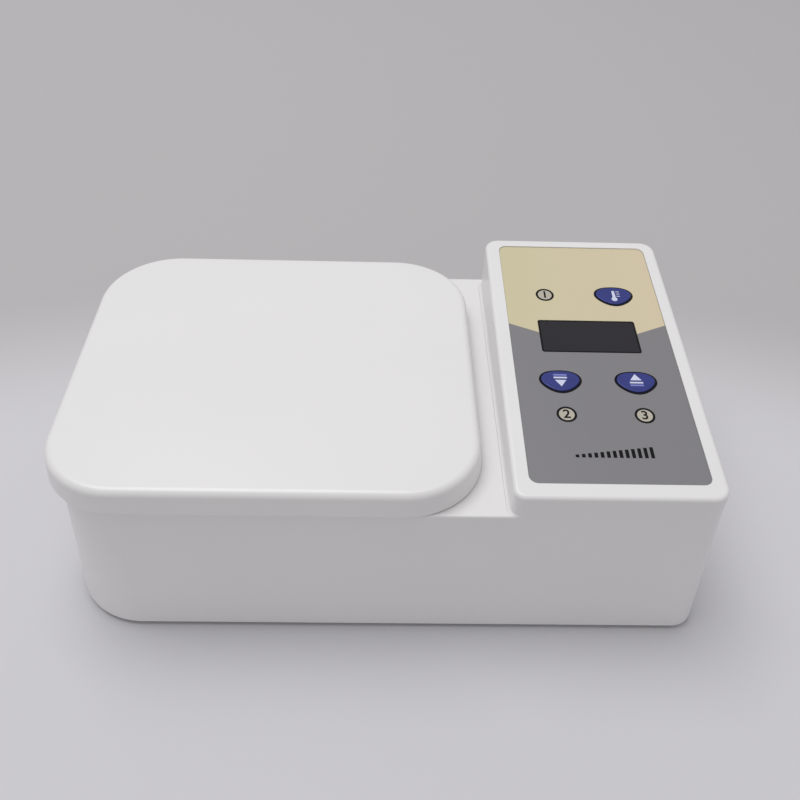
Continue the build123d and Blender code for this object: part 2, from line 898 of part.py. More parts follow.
def heat_shield():
    """A folded tray under the insulation, with the same holes."""
    outer = pan_outline(heater_width + 2 * (shield_gap + shield_thickness),
                        heater_depth + 2 * (shield_gap + shield_thickness), heater_corner + shield_gap)
    inner = pan_outline(heater_width + 2 * shield_gap, heater_depth + 2 * shield_gap, heater_corner)
    tray = slab(outer, shield_low, insulation_low + shield_wall_height)
    tray -= slab(inner, insulation_low, far)
    for x, y in stack_stud_places():
        tray -= post(x, y, stack_stud_hole, 0, far)
    tray -= sensor_slot(shield_slot_width, 0, far)
    return tray - cutout_room_form(cutout_room, 0, far)


def stack_studs():
    low = shield_low - stack_nut_height - stack_stud_tail
    high = pan_bottom - stack_pad_height + stack_stud_bite
    return group(post(x, y, stack_stud_radius, low, high) for x, y in stack_stud_places())


def stack_nuts():
    low = shield_low - stack_nut_height
    shapes = []
    for x, y in stack_stud_places():
        nut = hexagon(x, y, stack_nut_flats, low, shield_low)
        shapes.append(nut - post(x, y, stack_stud_radius + thread_fit, low - over, shield_low + over))
    return group(shapes)


# The sensor lug lies against the foot of its boss
lug_high = pan_bottom - sensor_boss_height
lug_low = lug_high - sensor_lug_thickness
barrel_left = large_well_x + sensor_lug_radius - root
barrel_z = lug_high - sensor_barrel_radius


def temperature_sensor():
    lug = post(large_well_x, pan_y, sensor_lug_radius, lug_low, lug_high)
    barrel = Pos(barrel_left + sensor_barrel_length / 2, pan_y, barrel_z) * Rot(0, 90, 0)
    lug += barrel * Cylinder(sensor_barrel_radius, sensor_barrel_length)
    return lug - post(large_well_x, pan_y, small_screw_hole, lug_low - over, lug_high + over)


def sensor_screw():
    length = sensor_lug_thickness + small_screw_bite - screw_end_gap
    shape = screw(small_screw_radius, length, small_screw_head, small_screw_head_height)
    return Pos(large_well_x, pan_y, lug_low) * Rot(180, 0, 0) * shape


cutout_tab_z = clamp_low - cutout_height + cutout_tab_drop
cutout_tab_left = small_well_x + cutout_radius - cutout_tab_root
cutout_tab_right = cutout_tab_left + cutout_tab_length


def thermal_cutout():
    """A round bimetal switch with two ears and two flat terminals towards the boards."""
    low = clamp_low - cutout_flange_thickness
    body = post(small_well_x, small_well_y, cutout_radius, clamp_low - cutout_height, clamp_low)
    ears = SlotOverall(cutout_ear_spacing + 2 * cutout_ear_radius, 2 * cutout_ear_radius)
    body += slab(Pos(small_well_x, small_well_y) * ears, low, clamp_low)
    for x, y in cutout_screw_places():
        body -= post(x, y, small_screw_hole, low - over, clamp_low + over)
    for side in (-1, 1):
        y = small_well_y + side * cutout_tab_spacing / 2
        half = cutout_tab_width / 2
        body += block(cutout_tab_left, cutout_tab_right, y - half, y + half,
                      cutout_tab_z - cutout_tab_thickness / 2, cutout_tab_z + cutout_tab_thickness / 2)
    return body


def cutout_screws():
    length = cutout_flange_thickness + clamp_plate_thickness - screw_end_gap
    shape = Rot(180, 0, 0) * screw(small_screw_radius, length, small_screw_head, small_screw_head_height)
    low = clamp_low - cutout_flange_thickness
    return group(Pos(x, y, low) * shape for x, y in cutout_screw_places())


def base_plate():
    """The vented base plate with counterbores, foot holes and standoffs."""
    plate = drafted_block(wall + base_gap, base_lift, base_top)
    for x, y in base_boss_places():
        plate -= post(x, y, base_screw_hole, 0, far)
        plate -= post(x, y, base_screw_head + base_screw_room, 0, base_lift + base_screw_sink)
    for x, y in foot_places().values():
        plate -= post(x, y, foot_stem_radius + foot_stem_fit, 0, far)
    for x, y in standoff_places():
        plate += post(x, y, standoff_radius, base_top - root, power_board_low)
        plate -= post(x, y, small_screw_hole, base_top, far)
    first = pan_x - (vent_columns - 1) * vent_pitch / 2
    slot = SlotOverall(vent_length, vent_width, rotation=90)
    for column in range(vent_columns):
        for side in (-1, 1):
            place = Pos(first + column * vent_pitch, pan_y + side * vent_row_spread)
            plate -= slab(place * slot, 0, base_top + over)
    return plate


def base_screws():
    length = base_thickness - base_screw_sink + base_screw_bite
    shape = Rot(180, 0, 0)
    shape *= screw(base_screw_radius, length, base_screw_head, base_screw_head_height)
    return group(Pos(x, y, base_lift + base_screw_sink) * shape for x, y in base_boss_places())


def foot(x, y):
    """A rubber foot: a disc under the base plate and a stem up through it."""
    disc = post(x, y, foot_radius, 0, base_lift)
    disc = fillet(disc.edges().group_by(Axis.Z)[0], foot_round)
    return disc + post(x, y, foot_stem_radius, base_lift - root, base_top + foot_stem_height)


def label_film():
    film = panel_slab(label_outline(0), label_floor, film_top)
    film -= panel_slab(window_outline(0), -far, far)
    for name in key_places:
        film -= panel_slab(key_outline(name, key_fit), -far, far)
    return film


def display_window():
    pane = panel_slab(window_outline(-window_fit), -panel_thickness, film_top - window_sink)
    foot_low = -panel_thickness - window_flange_thickness
    return pane + panel_slab(window_outline(window_flange), foot_low, -panel_thickness)


# Heights of a key along the panel's normal
key_top = film_top + key_proud
key_shoulder = -panel_thickness - key_stop_gap
stem_foot = display_board_top + switch_height + plunger_reach


def key(name):
    """A key: its crown fills the film's opening, its flange stops it under the panel."""
    crown = extrude(Pos(0, 0, key_shoulder) * key_outline(name, 0), key_top - key_shoulder)
    crown = fillet(crown.edges().group_by(Axis.Z)[-1], key_edge_round)
    flange_low = key_shoulder - key_flange_thickness
    crown += extrude(Pos(0, 0, flange_low) * key_outline(name, key_flange), key_flange_thickness)
    u, s = key_places[name]
    return panel * (crown + post(u, s, key_stem_radius, stem_foot, flange_low + root))


def key_plunger(name):
    """The switch's own button under a key's stem."""
    u, s = key_places[name]
    switch_top = display_board_top + switch_height
    return panel * post(u, s, plunger_radius, switch_top - plunger_depth, stem_foot)


def key_switches():
    """Switch bodies on the display board, each bored for its plunger."""
    shapes = []
    half = switch_size / 2
    for u, s in key_places.values():
        high = display_board_top + switch_height
        body = block(u - half, u + half, s - half, s + half, display_board_top, high)
        floor = high - plunger_depth - key_travel - plunger_room
        shapes.append(panel * (body - post(u, s, plunger_radius + plunger_fit, floor, far)))
    return group(shapes)


def display_board():
    width = display_board_right - display_board_left
    length = display_board_rear - display_board_front
    middle = Pos(display_board_left + width / 2, display_board_front + length / 2)
    board = extrude(Pos(0, 0, display_board_low) * middle * Rectangle(width, length), board_thickness)
    for u, s in display_boss_places():
        board -= post(u, s, small_screw_hole, -far, far)
    return panel * board


def display_board_screws():
    length = board_thickness + small_screw_bite - screw_end_gap
    shape = screw(small_screw_radius, length, small_screw_head, small_screw_head_height)
    places = display_boss_places()
    return group(on_panel(u, s, display_board_low) * Rot(180, 0, 0) * shape for u, s in places)


def digit_slots():
    """Shallow bars of three seven-part figures, in the display's own plane."""
    bars = Sketch()
    upright = SlotOverall(side_bar_length, bar_width, rotation=90)
    for index in (-1, 0, 1):
        middle = index * digit_pitch
        for row in (-1, 0, 1):
            bars += Pos(middle, row * digit_row) * SlotOverall(bar_length, bar_width)
        for row in (-1, 1):
            for side in (-1, 1):
                bars += Pos(middle + side * digit_column, row * digit_row / 2) * upright
    return bars


def led_display():
    """The three-digit display module, with shallow figures in its face."""
    middle = Pos(window_left + window_width / 2, window_front + window_length / 2)
    face = Pos(0, 0, display_board_top) * middle * Rectangle(display_width, display_length)
    body = extrude(face, display_height)
    body -= extrude(Pos(0, 0, display_top - bar_depth) * middle * digit_slots(), bar_depth + over)
    return panel * body


def indicator_lamps():
    """Small round lamps on long legs, up inside the panel's holes."""
    shapes = []
    high = label_floor - lamp_gap
    for u, s in lamp_places:
        lamp = post(u, s, lamp_radius, high - lamp_length, high)
        lamp = fillet(lamp.edges().group_by(Axis.Z)[-1], lamp_dome)
        for side in (-1, 1):
            x = u + side * lamp_leg_spacing / 2
            lamp += post(x, s, lamp_leg_radius, display_board_top, high - lamp_length + root)
        shapes.append(panel * lamp)
    return group(shapes)


def mains_inlet():
    """The three-pole inlet: flange on the pocket's face, socket with two cut corners."""
    outer = pocket_face + inlet_flange_thickness
    rear = pocket_face - inlet_body_length
    facing = Plane(origin=(inlet_x, pocket_face, pocket_middle_z), x_dir=(-1, 0, 0), z_dir=(0, 1, 0))
    flange = RectangleRounded(inlet_flange_width, inlet_flange_height, inlet_flange_corner)
    body = facing * extrude(flange, inlet_flange_thickness)
    low = pocket_middle_z - inlet_body_height / 2
    body += block(inlet_x - inlet_body_width / 2, inlet_x + inlet_body_width / 2, rear, pocket_face,
                  low, low + inlet_body_height)
    mouth = Rectangle(socket_width, socket_height)
    mouth = chamfer(mouth.vertices().group_by(Axis.Y)[-1], socket_chamfer)
    body -= facing * extrude(Pos(0, 0, inlet_flange_thickness - socket_depth) * mouth, far)
    for pin in inlet_pin_shapes(outer, rear):
        body -= pin
    return body


def inlet_pin_places():
    """The three pins, from the inlet's middle: live, earth, neutral."""
    rise = inlet_earth_rise / 2
    half = inlet_pin_spacing / 2
    return [(half, -rise), (0, rise), (-half, -rise)]


def inlet_pin_shapes(outer, rear):
    """Flat pins that carry on as solder tabs behind the inlet."""
    shapes = []
    for across, rise in inlet_pin_places():
        x = inlet_x + across
        z = pocket_middle_z + rise
        pin = block(x - inlet_pin_width / 2, x + inlet_pin_width / 2, rear, outer - inlet_pin_sink,
                    z - inlet_pin_height / 2, z + inlet_pin_height / 2)
        tab = block(x - inlet_tab_thickness / 2, x + inlet_tab_thickness / 2, rear - inlet_tab_length,
                    rear, z - inlet_tab_width / 2, z + inlet_tab_width / 2)
        shapes.append(pin + tab)
    return shapes


def inlet_pins():
    outer = pocket_face + inlet_flange_thickness
    return group(inlet_pin_shapes(outer, pocket_face - inlet_body_length))


# The rocker tilts about an axis along X, a little inside the bezel's face
bezel_face = pocket_face + bezel_thickness
rocker_pivot = (rocker_x, bezel_face - rocker_pivot_sink, pocket_middle_z)


def rocker_switch_body():
    rear = pocket_face - switch_body_length
    facing = Plane(origin=(rocker_x, pocket_face, pocket_middle_z), x_dir=(-1, 0, 0), z_dir=(0, 1, 0))
    body = facing * extrude(RectangleRounded(bezel_width, bezel_height, bezel_corner), bezel_thickness)
    body = fillet(body.edges().group_by(Axis.Y)[-1], bezel_round)
    low = pocket_middle_z - switch_body_height / 2
    body += block(rocker_x - switch_body_width / 2, rocker_x + switch_body_width / 2, rear, pocket_face,
                  low, low + switch_body_height)
    low = pocket_middle_z - switch_cavity_height / 2
    body -= block(rocker_x - switch_cavity_width / 2, rocker_x + switch_cavity_width / 2,
                  bezel_face - switch_cavity_depth, far, low, low + switch_cavity_height)
    pin_hole = Cylinder(rocker_pin_radius + rocker_pin_fit, rocker_pin_length + 2 * rocker_pin_end_gap)
    body -= Pos(*rocker_pivot) * Rot(0, 90, 0) * pin_hole
    for tab in rocker_tab_shapes():
        body -= tab
    return body


def rocker_tab_shapes():
    """Two flat tabs, each set a little way into the back of the switch body."""
    rear = pocket_face - switch_body_length
    shapes = []
    for side in (-1, 1):
        z = pocket_middle_z + side * rocker_tab_spacing / 2
        shapes.append(block(rocker_x - inlet_tab_width / 2, rocker_x + inlet_tab_width / 2,
                            rear - rocker_tab_length, rear + rocker_tab_root,
                            z - inlet_tab_thickness / 2, z + inlet_tab_thickness / 2))
    return shapes


def rocker_switch_tabs():
    return group(rocker_tab_shapes())


def rocker():
    """The rocker, drawn level and then tilted into its rest position."""
    rise = rocker_pivot_sink + rocker_end_rise
    middle = rocker_pivot_sink + rocker_middle_rise
    side = [(-rocker_half_height, rise), (0, middle), (rocker_half_height, rise),
            (rocker_half_height, -rocker_underside / 2), (rocker_foot_half, -rocker_underside),
            (-rocker_foot_half, -rocker_underside), (-rocker_half_height, -rocker_underside / 2)]
    profile = Plane(origin=(0, 0, 0), x_dir=(0, 0, 1), z_dir=(-1, 0, 0))
    body = profile * extrude(make_face(Polyline(*side, close=True)), rocker_half_width, both=True)
    body = fillet(body.edges().group_by(Axis.Y)[-1], rocker_edge_round)
    body += Rot(0, 90, 0) * Cylinder(rocker_pin_radius, rocker_pin_length)
    return Pos(*rocker_pivot) * Rot(-rocker_swing / 2, 0, 0) * body


def power_board():
    x, y = power_board_left, power_board_front
    board = block(x, x + power_board_width, y, y + power_board_length, power_board_low, power_board_top)
    for x, y in standoff_places():
        board -= post(x, y, small_screw_hole, 0, far)
    return board


def power_board_screws():
    length = board_thickness + standoff_height - screw_end_gap
    shape = screw(small_screw_radius, length, small_screw_head, small_screw_head_height)
    return group(Pos(x, y, power_board_top) * shape for x, y in standoff_places())


def transformer_core():
    """A stacked iron core with two windows for the winding."""
    x, y = on_board(transformer_place)
    low = power_board_top
    core = block(x - core_width / 2, x + core_width / 2, y - core_length / 2, y + core_length / 2,
                 low, low + core_height)
    for side in (-1, 1):
        middle = x + side * (core_limb + core_window) / 2
        core -= block(middle - core_window / 2, middle + core_window / 2, -far, far,
                      low + core_limb / 2, low + core_height - core_limb / 2)
    return core


def transformer_winding():
    """The winding round the core's middle limb."""
    x, y = on_board(transformer_place)
    reach = core_limb / 2 + core_window - winding_gap
    low = power_board_top + core_limb / 2 + winding_gap
    high = power_board_top + core_height - core_limb / 2 - winding_gap
    coil = block(x - reach, x + reach, y - winding_length / 2, y + winding_length / 2, low, high)
    coil = fillet(coil.edges().filter_by(Axis.Z), winding_round)
    half = core_limb / 2
    return coil - block(x - half, x + half, y - core_length / 2, y + core_length / 2, 0, far)


def box_part(place, size):
    """A plain rectangular component on the power board."""
    x, y = on_board(place)
    width, length, height = size
    return block(x - width / 2, x + width / 2, y - length / 2, y + length / 2,
                 power_board_top, power_board_top + height)


def relay():
    return fillet(box_part(relay_place, relay_size).edges().filter_by(Axis.Z), relay_round)


def capacitor():
    x, y = on_board(capacitor_place)
    can = post(x, y, capacitor_radius, power_board_top, power_board_top + capacitor_height)
    return fillet(can.edges().group_by(Axis.Z)[-1], capacitor_round)


def fuse_axis():
    x, y = on_board(fuse_place)
    return x, y, power_board_top + fuse_lift


def fuse():
    """A glass cartridge with two metal caps, as three solids in one row."""
    x, y, z = fuse_axis()
    glass_length = fuse_length - 2 * fuse_cap_length
    middle = Pos(x, y, z) * Rot(0, 90, 0)
    shapes = [middle * Cylinder(fuse_glass_radius, glass_length)]
    for side in (-1, 1):
        place = Pos(x + side * (glass_length + fuse_cap_length) / 2, y, z) * Rot(0, 90, 0)
        shapes.append(place * Cylinder(fuse_radius, fuse_cap_length))
    return group(shapes)


def fuse_clips():
    """Two sprung clips that grip the fuse's caps from below."""
    x, y, z = fuse_axis()
    shapes = []
    for side in (-1, 1):
        middle = x + side * (fuse_length - clip_width) / 2
        outer = fuse_radius + clip_thickness
        clip = Pos(middle, y, z) * Rot(0, 90, 0) * Cylinder(outer, clip_width)
        clip += block(middle - clip_width / 2, middle + clip_width / 2, y - outer, y + outer,
                      power_board_top, z)
        clip -= Pos(middle, y, z) * Rot(0, 90, 0) * Cylinder(fuse_radius, far)
        mouth = fuse_radius * clip_mouth_share
        clip -= block(-far, far, y - mouth, y + mouth, z, far)
        clip -= block(-far, far, y - fuse_radius, y + fuse_radius, power_board_top + clip_thickness,
                      z - fuse_radius * clip_neck_share)
        shapes.append(clip)
    return group(shapes)


def mains_terminals():
    """A block of screw terminals with round wells for the wires, entered from above."""
    body = box_part(mains_terminals_place, mains_terminals_size)
    x, y = on_board(mains_terminals_place)
    top = power_board_top + mains_terminals_size[2]
    for across in mains_entry_offsets():
        body -= post(x + across, y, mains_lead_radius + entry_fit, top - entry_depth, far)
    return body


def mains_entry_offsets():
    """Where the mains leads go in, from the block's middle."""
    return [-2 * terminal_pitch, -terminal_pitch, 2 * terminal_pitch]


def heater_terminals():
    """A block of screw terminals with its entries towards the pan."""
    body = box_part(heater_terminals_place, heater_terminals_size)
    x, y = on_board(heater_terminals_place)
    width, length, height = heater_terminals_size
    entry = Rot(0, 90, 0) * Cylinder(heater_lead_radius + entry_fit, 2 * entry_depth)
    for y_lead in heater_entry_places():
        body -= Pos(x - width / 2, y_lead, lead_height) * entry
    top = power_board_top + height
    count = int(length // terminal_pitch)
    for index in range(count):
        y_screw = y + (index - (count - 1) / 2) * terminal_pitch
        body -= post(x, y_screw, terminal_screw_radius, top - terminal_screw_depth, far)
    return body


cutout_lead_y = small_well_y - cutout_tab_spacing / 2
link_lead_y = small_well_y + cutout_tab_spacing / 2
heater_lead_y = cutout_lead_y - 2 * terminal_pitch


def heater_entry_places():
    """Where the heater, cut-out and sensor leads go in."""
    return [heater_lead_y, cutout_lead_y, pan_y]


def heater_entry_x():
    """The face of the heater terminals that the leads go into."""
    return on_board(heater_terminals_place)[0] - heater_terminals_size[0] / 2


def heater_leads():
    """Heater to terminals, cut-out to terminals, and the link from heater to cut-out."""
    edge = pan_x + heater_width / 2
    mat_z = (heater_low + pan_bottom) / 2
    end = heater_entry_x() + lead_bite
    turn = (edge + heater_entry_x()) / 2
    direct = [(edge, heater_lead_y, mat_z), (turn - heater_lead_run, heater_lead_y, mat_z),
              (turn + heater_lead_run, heater_lead_y, lead_height), (end, heater_lead_y, lead_height)]
    from_cutout = [(cutout_tab_right, cutout_lead_y, cutout_tab_z),
                   (turn - cutout_lead_run, cutout_lead_y, cutout_tab_z),
                   (turn + cutout_lead_run, cutout_lead_y, lead_height), (end, cutout_lead_y, lead_height)]
    link = [(cutout_tab_right, link_lead_y, cutout_tab_z), (turn, link_lead_y, cutout_tab_z),
            (turn, link_lead_y, mat_z), (edge, link_lead_y, mat_z)]
    return group(tube(points, heater_lead_radius, lead_bend) for points in (direct, from_cutout, link))


def sensor_lead():
    """From the sensor's barrel down through the slot, then under the shield to its terminal."""
    start = barrel_left + sensor_barrel_length
    drop = start + sensor_lead_reach
    turn = (pan_x + heater_width / 2 + heater_entry_x()) / 2
    under = (base_top + shield_low) / 2
    points = [(start, pan_y, barrel_z), (drop, pan_y, barrel_z), (drop, pan_y, under),
              (turn, pan_y, under), (turn + sensor_lead_run, pan_y, lead_height),
              (heater_entry_x() + lead_bite, pan_y, lead_height)]
    return tube(points, sensor_lead_radius, sensor_lead_bend)


def mains_leads():
    """Inlet to rocker switch, rocker switch to board, and inlet to board."""
    tab_y = pocket_face - inlet_body_length - inlet_tab_length
    rocker_tab_y = pocket_face - switch_body_length - rocker_tab_length
    live, _, neutral = [(inlet_x + x, pocket_middle_z + z) for x, z in inlet_pin_places()]
    low_tab = pocket_middle_z - rocker_tab_spacing / 2
    high_tab = pocket_middle_z + rocker_tab_spacing / 2
    x, y = on_board(mains_terminals_place)
    entry = power_board_top + mains_terminals_size[2] - lead_bite
    offsets = mains_entry_offsets()
    front = tab_y - switch_lead_reach
    to_switch = [(live[0], tab_y, live[1]), (live[0], front, live[1]),
                 (rocker_x, front, high_tab), (rocker_x, rocker_tab_y, high_tab)]
    from_switch = [(rocker_x, rocker_tab_y, low_tab), (rocker_x, y + mains_lead_corner, low_tab),
                   (x + offsets[2] + mains_lead_corner, y, low_tab), (x + offsets[2], y, low_tab),
                   (x + offsets[2], y, entry)]
    from_neutral = [(neutral[0], tab_y, neutral[1]), (neutral[0], y, neutral[1]),
                    (x + offsets[0], y, neutral[1] - neutral_lead_drop), (x + offsets[0], y, entry)]
    return group([tube(to_switch, mains_lead_radius, lead_bend),
                  tube(from_switch, mains_lead_radius, mains_lead_bend),
                  tube(from_neutral, mains_lead_radius, mains_lead_bend)])


def earth_lead():
    """From the inlet's earth tab to a ring tag under a nut of the pan."""
    x, y = earth_place()
    high = ledge_height - deck_thickness - pan_washer_thickness
    low = high - earth_tag_thickness
    tag = post(x, y, earth_tag_radius, low, high)
    neck = x + earth_tag_radius - earth_neck_root
    tag += block(neck, neck + earth_barrel_length, y - mains_lead_radius, y + mains_lead_radius, low, high)
    tag -= post(x, y, pan_stud_radius + thread_fit, 0, far)
    tab_y = pocket_face - inlet_body_length - inlet_tab_length
    across, rise = inlet_pin_places()[1]
    start = (inlet_x + across, tab_y, pocket_middle_z + rise)
    end_z = low - mains_lead_radius
    lead = [start, (start[0], tab_y - earth_lead_reach, start[2]),
            (start[0] - earth_lead_side, y, start[2] + earth_lead_rise),
            (neck + earth_lead_run, y, end_z), (neck + earth_lead_lap, y, end_z)]
    return group([tag, tube(lead, mains_lead_radius, earth_lead_bend)])


def ribbon_ends():
    """Where the ribbon leaves the two boards' connectors."""
    upper = on_panel(ribbon_x - tower_left, ribbon_place, display_board_low - connector_height)
    tilt_gap = (connector_length + ribbon_thickness) / 2 * math.tan(math.radians(panel_slope))
    upper_y, upper_z = upper.position.Y, upper.position.Z - tilt_gap
    return (upper_y, upper_z), (upper_y - ribbon_jog, power_board_top + connector_height)


def ribbon_cable():
    """A flat cable from the power board up to the display board."""
    (upper_y, upper_z), (lower_y, lower_z) = ribbon_ends()
    run = (upper_z - lower_z) / 3
    path = FilletPolyline((ribbon_x, upper_y, upper_z), (ribbon_x, upper_y, upper_z - run),
                          (ribbon_x, lower_y, lower_z + run), (ribbon_x, lower_y, lower_z),
                          radius=ribbon_bend)
    section = Plane(origin=path @ 0, x_dir=(1, 0, 0), z_dir=path % 0)
    return sweep(section * Rectangle(ribbon_width, ribbon_thickness), path=path)


def ribbon_connectors():
    """The two headers that the ribbon plugs into."""
    (upper_y, upper_z), (lower_y, lower_z) = ribbon_ends()
    header = Rectangle(connector_width, connector_length)
    upper = on_panel(ribbon_x - tower_left, ribbon_place, display_board_low - connector_height)
    top = upper * extrude(header, connector_height)
    bottom = slab(Pos(ribbon_x, lower_y) * header, power_board_top, lower_z)
    return group([top, bottom])


def save(name, shape):
    """Write one node, moved so that the origin lies below the middle of the whole."""
    solids = [Pos(body_shift, 0, 0) * solid for solid in shape.solids()]
    export_step(Compound(solids), f"parts/{name}.step")


nodes = {
    "housing": housing,
    "lid": lid,
    "melting_pan": melting_pan,
    "pan_gasket": pan_gasket,
    "pan_studs": pan_studs,
    "pan_washers": pan_washers,
    "pan_nuts": pan_nuts,
    "heater_mat": heater_mat,
    "clamp_plate": clamp_plate,
    "insulation_pad": insulation_pad,
    "heat_shield": heat_shield,
    "stack_studs": stack_studs,
    "stack_nuts": stack_nuts,
    "temperature_sensor": temperature_sensor,
    "sensor_screw": sensor_screw,
    "thermal_cutout": thermal_cutout,
    "cutout_screws": cutout_screws,
    "base_plate": base_plate,
    "base_screws": base_screws,
    "label_film": label_film,
    "display_window": display_window,
    "key_switches": key_switches,
    "display_board": display_board,
    "display_board_screws": display_board_screws,
    "led_display": led_display,
    "indicator_lamps": indicator_lamps,
    "mains_inlet": mains_inlet,
    "inlet_pins": inlet_pins,
    "rocker_switch_body": rocker_switch_body,
    "rocker_switch_tabs": rocker_switch_tabs,
    "rocker": rocker,
    "power_board": power_board,
    "power_board_screws": power_board_screws,
    "transformer_core": transformer_core,
    "transformer_winding": transformer_winding,
    "relay": relay,
    "capacitor": capacitor,
    "fuse": fuse,
    "fuse_clips": fuse_clips,
    "mains_terminals": mains_terminals,
    "heater_terminals": heater_terminals,
    "heater_leads": heater_leads,
    "sensor_lead": sensor_lead,
    "mains_leads": mains_leads,
    "earth_lead": earth_lead,
    "ribbon_cable": ribbon_cable,
    "ribbon_connectors": ribbon_connectors,
}

os.makedirs("parts", exist_ok=True)
for name, make in nodes.items():
    save(name, make())
for name in key_places:
    save(f"key_{name}", key(name))
    save(f"key_plunger_{name}", key_plunger(name))
for name, (x, y) in foot_places().items():
    save(f"foot_{name}", foot(x, y))
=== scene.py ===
import math

import bmesh
import bpy
from mathutils import Matrix, Vector


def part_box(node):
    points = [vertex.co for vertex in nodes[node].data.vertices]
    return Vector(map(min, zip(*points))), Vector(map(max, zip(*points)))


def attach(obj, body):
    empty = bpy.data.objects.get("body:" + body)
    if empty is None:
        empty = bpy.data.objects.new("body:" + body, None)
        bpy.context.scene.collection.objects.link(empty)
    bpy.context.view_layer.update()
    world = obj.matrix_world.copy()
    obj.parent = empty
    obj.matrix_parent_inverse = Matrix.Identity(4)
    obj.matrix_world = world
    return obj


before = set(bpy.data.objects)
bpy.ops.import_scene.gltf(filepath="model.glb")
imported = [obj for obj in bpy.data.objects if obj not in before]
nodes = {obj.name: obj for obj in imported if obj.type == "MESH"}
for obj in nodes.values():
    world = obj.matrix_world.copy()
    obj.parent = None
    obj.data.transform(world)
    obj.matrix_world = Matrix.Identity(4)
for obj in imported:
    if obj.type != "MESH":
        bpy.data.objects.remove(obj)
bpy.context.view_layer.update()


# Feet: four discs of black nitrile rubber, compression moulded, each with a stem that is pushed
# up through a hole in the base plate. The rubber is dull, with a fine bloom over the black.
def linear(colour):
    """An sRGB hex value as the linear colour that a shader takes."""
    shares = [int(colour[at:at + 2], 16) / 255 for at in (1, 3, 5)]
    return [*(x / 12.92 if x <= 0.04045 else ((x + 0.055) / 1.055) ** 2.4 for x in shares), 1.0]


def add_node(tree, kind, inputs=None, **settings):
    """Add a node, set its settings, and set or link its inputs, each by name or by number."""
    node = tree.nodes.new(kind)
    for name, value in settings.items():
        setattr(node, name, value)
    for name, value in (inputs or {}).items():
        if isinstance(value, bpy.types.NodeSocket):
            tree.links.new(value, node.inputs[name])
        else:
            node.inputs[name].default_value = value
    return node


def finish(name, colours, roughness, mottle, grain, relief, stretch=(1, 1, 1), values=None):
    """A surface that drifts between two near colours and two roughnesses over mottle
    millimetres, under a grain with its own size and relief in millimetres."""
    material = bpy.data.materials.new(name)
    material.use_nodes = True
    tree = material.node_tree
    shader = tree.nodes["Principled BSDF"]
    place = add_node(tree, "ShaderNodeTexCoord", name="place").outputs["Object"]
    cloud = add_node(tree, "ShaderNodeTexNoise", {"Vector": place, "Scale": 1000 / mottle, "Detail": 3.0})
    drift = add_node(tree, "ShaderNodeMapRange",
                     {"Value": cloud.outputs[0], "From Min": 0.25, "From Max": 0.75}, name="drift")
    tone = add_node(tree, "ShaderNodeMix",
                    {0: drift.outputs[0], 6: linear(colours[0]), 7: linear(colours[1])}, data_type="RGBA")
    gloss = add_node(tree, "ShaderNodeMapRange",
                     {"Value": drift.outputs[0], "To Min": roughness[0], "To Max": roughness[1]})
    drawn = add_node(tree, "ShaderNodeMapping", {"Vector": place, "Scale": stretch})
    fine = add_node(tree, "ShaderNodeTexNoise",
                    {"Vector": drawn.outputs[0], "Scale": 1000 / grain, "Detail": 2.0})
    bump = add_node(tree, "ShaderNodeBump",
                    {"Height": fine.outputs[0], "Distance": relief / 1000}, name="bump")
    tree.links.new(tone.outputs[2], shader.inputs["Base Color"])
    tree.links.new(gloss.outputs[0], shader.inputs["Roughness"])
    tree.links.new(bump.outputs[0], shader.inputs["Normal"])
    for socket, value in (values or {}).items():
        shader.inputs[socket].default_value = value
    return material


def coat(material, *names):
    """Give these CAD nodes this material."""
    for name in names:
        for slot in nodes[name].material_slots:
            slot.material = material


foot_rubber = finish("nitrile rubber moulded", ("#1d1e1f", "#2b2c2d"), (0.7, 0.85),
                     mottle=5, grain=0.5, relief=0.03)
coat(foot_rubber, *(name for name in nodes if name.startswith("foot_")))


# Base plate: an injection-moulded ABS tray floor with two rows of vent slots and four standoffs.
# The tool is spark eroded on this hidden side, so the white is a little greyer and quite matt.
base_abs = finish("abs spark-eroded white", ("#d9d8d4", "#cfcecb"), (0.5, 0.62),
                  mottle=30, grain=0.6, relief=0.03, values={"IOR": 1.53})
coat(base_abs, "base_plate")


# Power board: glass-fibre laminate under green solder mask, screwed to the four standoffs.
# Copper runs show through the mask as paler lines that stand up a little; they are drawn at
# twice their real pitch, because real ones are too fine to show.
def paint_over(material, mask, colour, metal=False):
    """Show another colour, or a bare metal, where the mask is 1."""
    tree = material.node_tree
    base = tree.nodes["Principled BSDF"].inputs["Base Color"]
    top = add_node(tree, "ShaderNodeMix", {0: mask, 6: base.links[0].from_socket, 7: linear(colour)},
                   data_type="RGBA")
    tree.links.new(top.outputs[2], base)
    if metal:
        tree.links.new(mask, tree.nodes["Principled BSDF"].inputs["Metallic"])


def add_relief(material, height, depth):
    """Raise the surface by a second pattern, over the grain that it has."""
    tree = material.node_tree
    normal = tree.nodes["Principled BSDF"].inputs["Normal"]
    bump = add_node(tree, "ShaderNodeBump",
                    {"Height": height, "Distance": depth / 1000, "Normal": normal.links[0].from_socket})
    tree.links.new(bump.outputs[0], normal)


def bands(material, direction, pitch, profile="SIN"):
    """A wave along an axis with the given pitch in millimetres, from 0 to 1."""
    tree = material.node_tree
    # The wave texture repeats ten times in pi metres where its scale is 1.
    wave_at_scale_one = 2 * math.pi / 20
    wave = add_node(tree, "ShaderNodeTexWave", {
        "Vector": tree.nodes["place"].outputs["Object"],
        "Scale": wave_at_scale_one * 1000 / pitch,
    }, bands_direction=direction, wave_profile=profile)
    return wave.outputs[1]


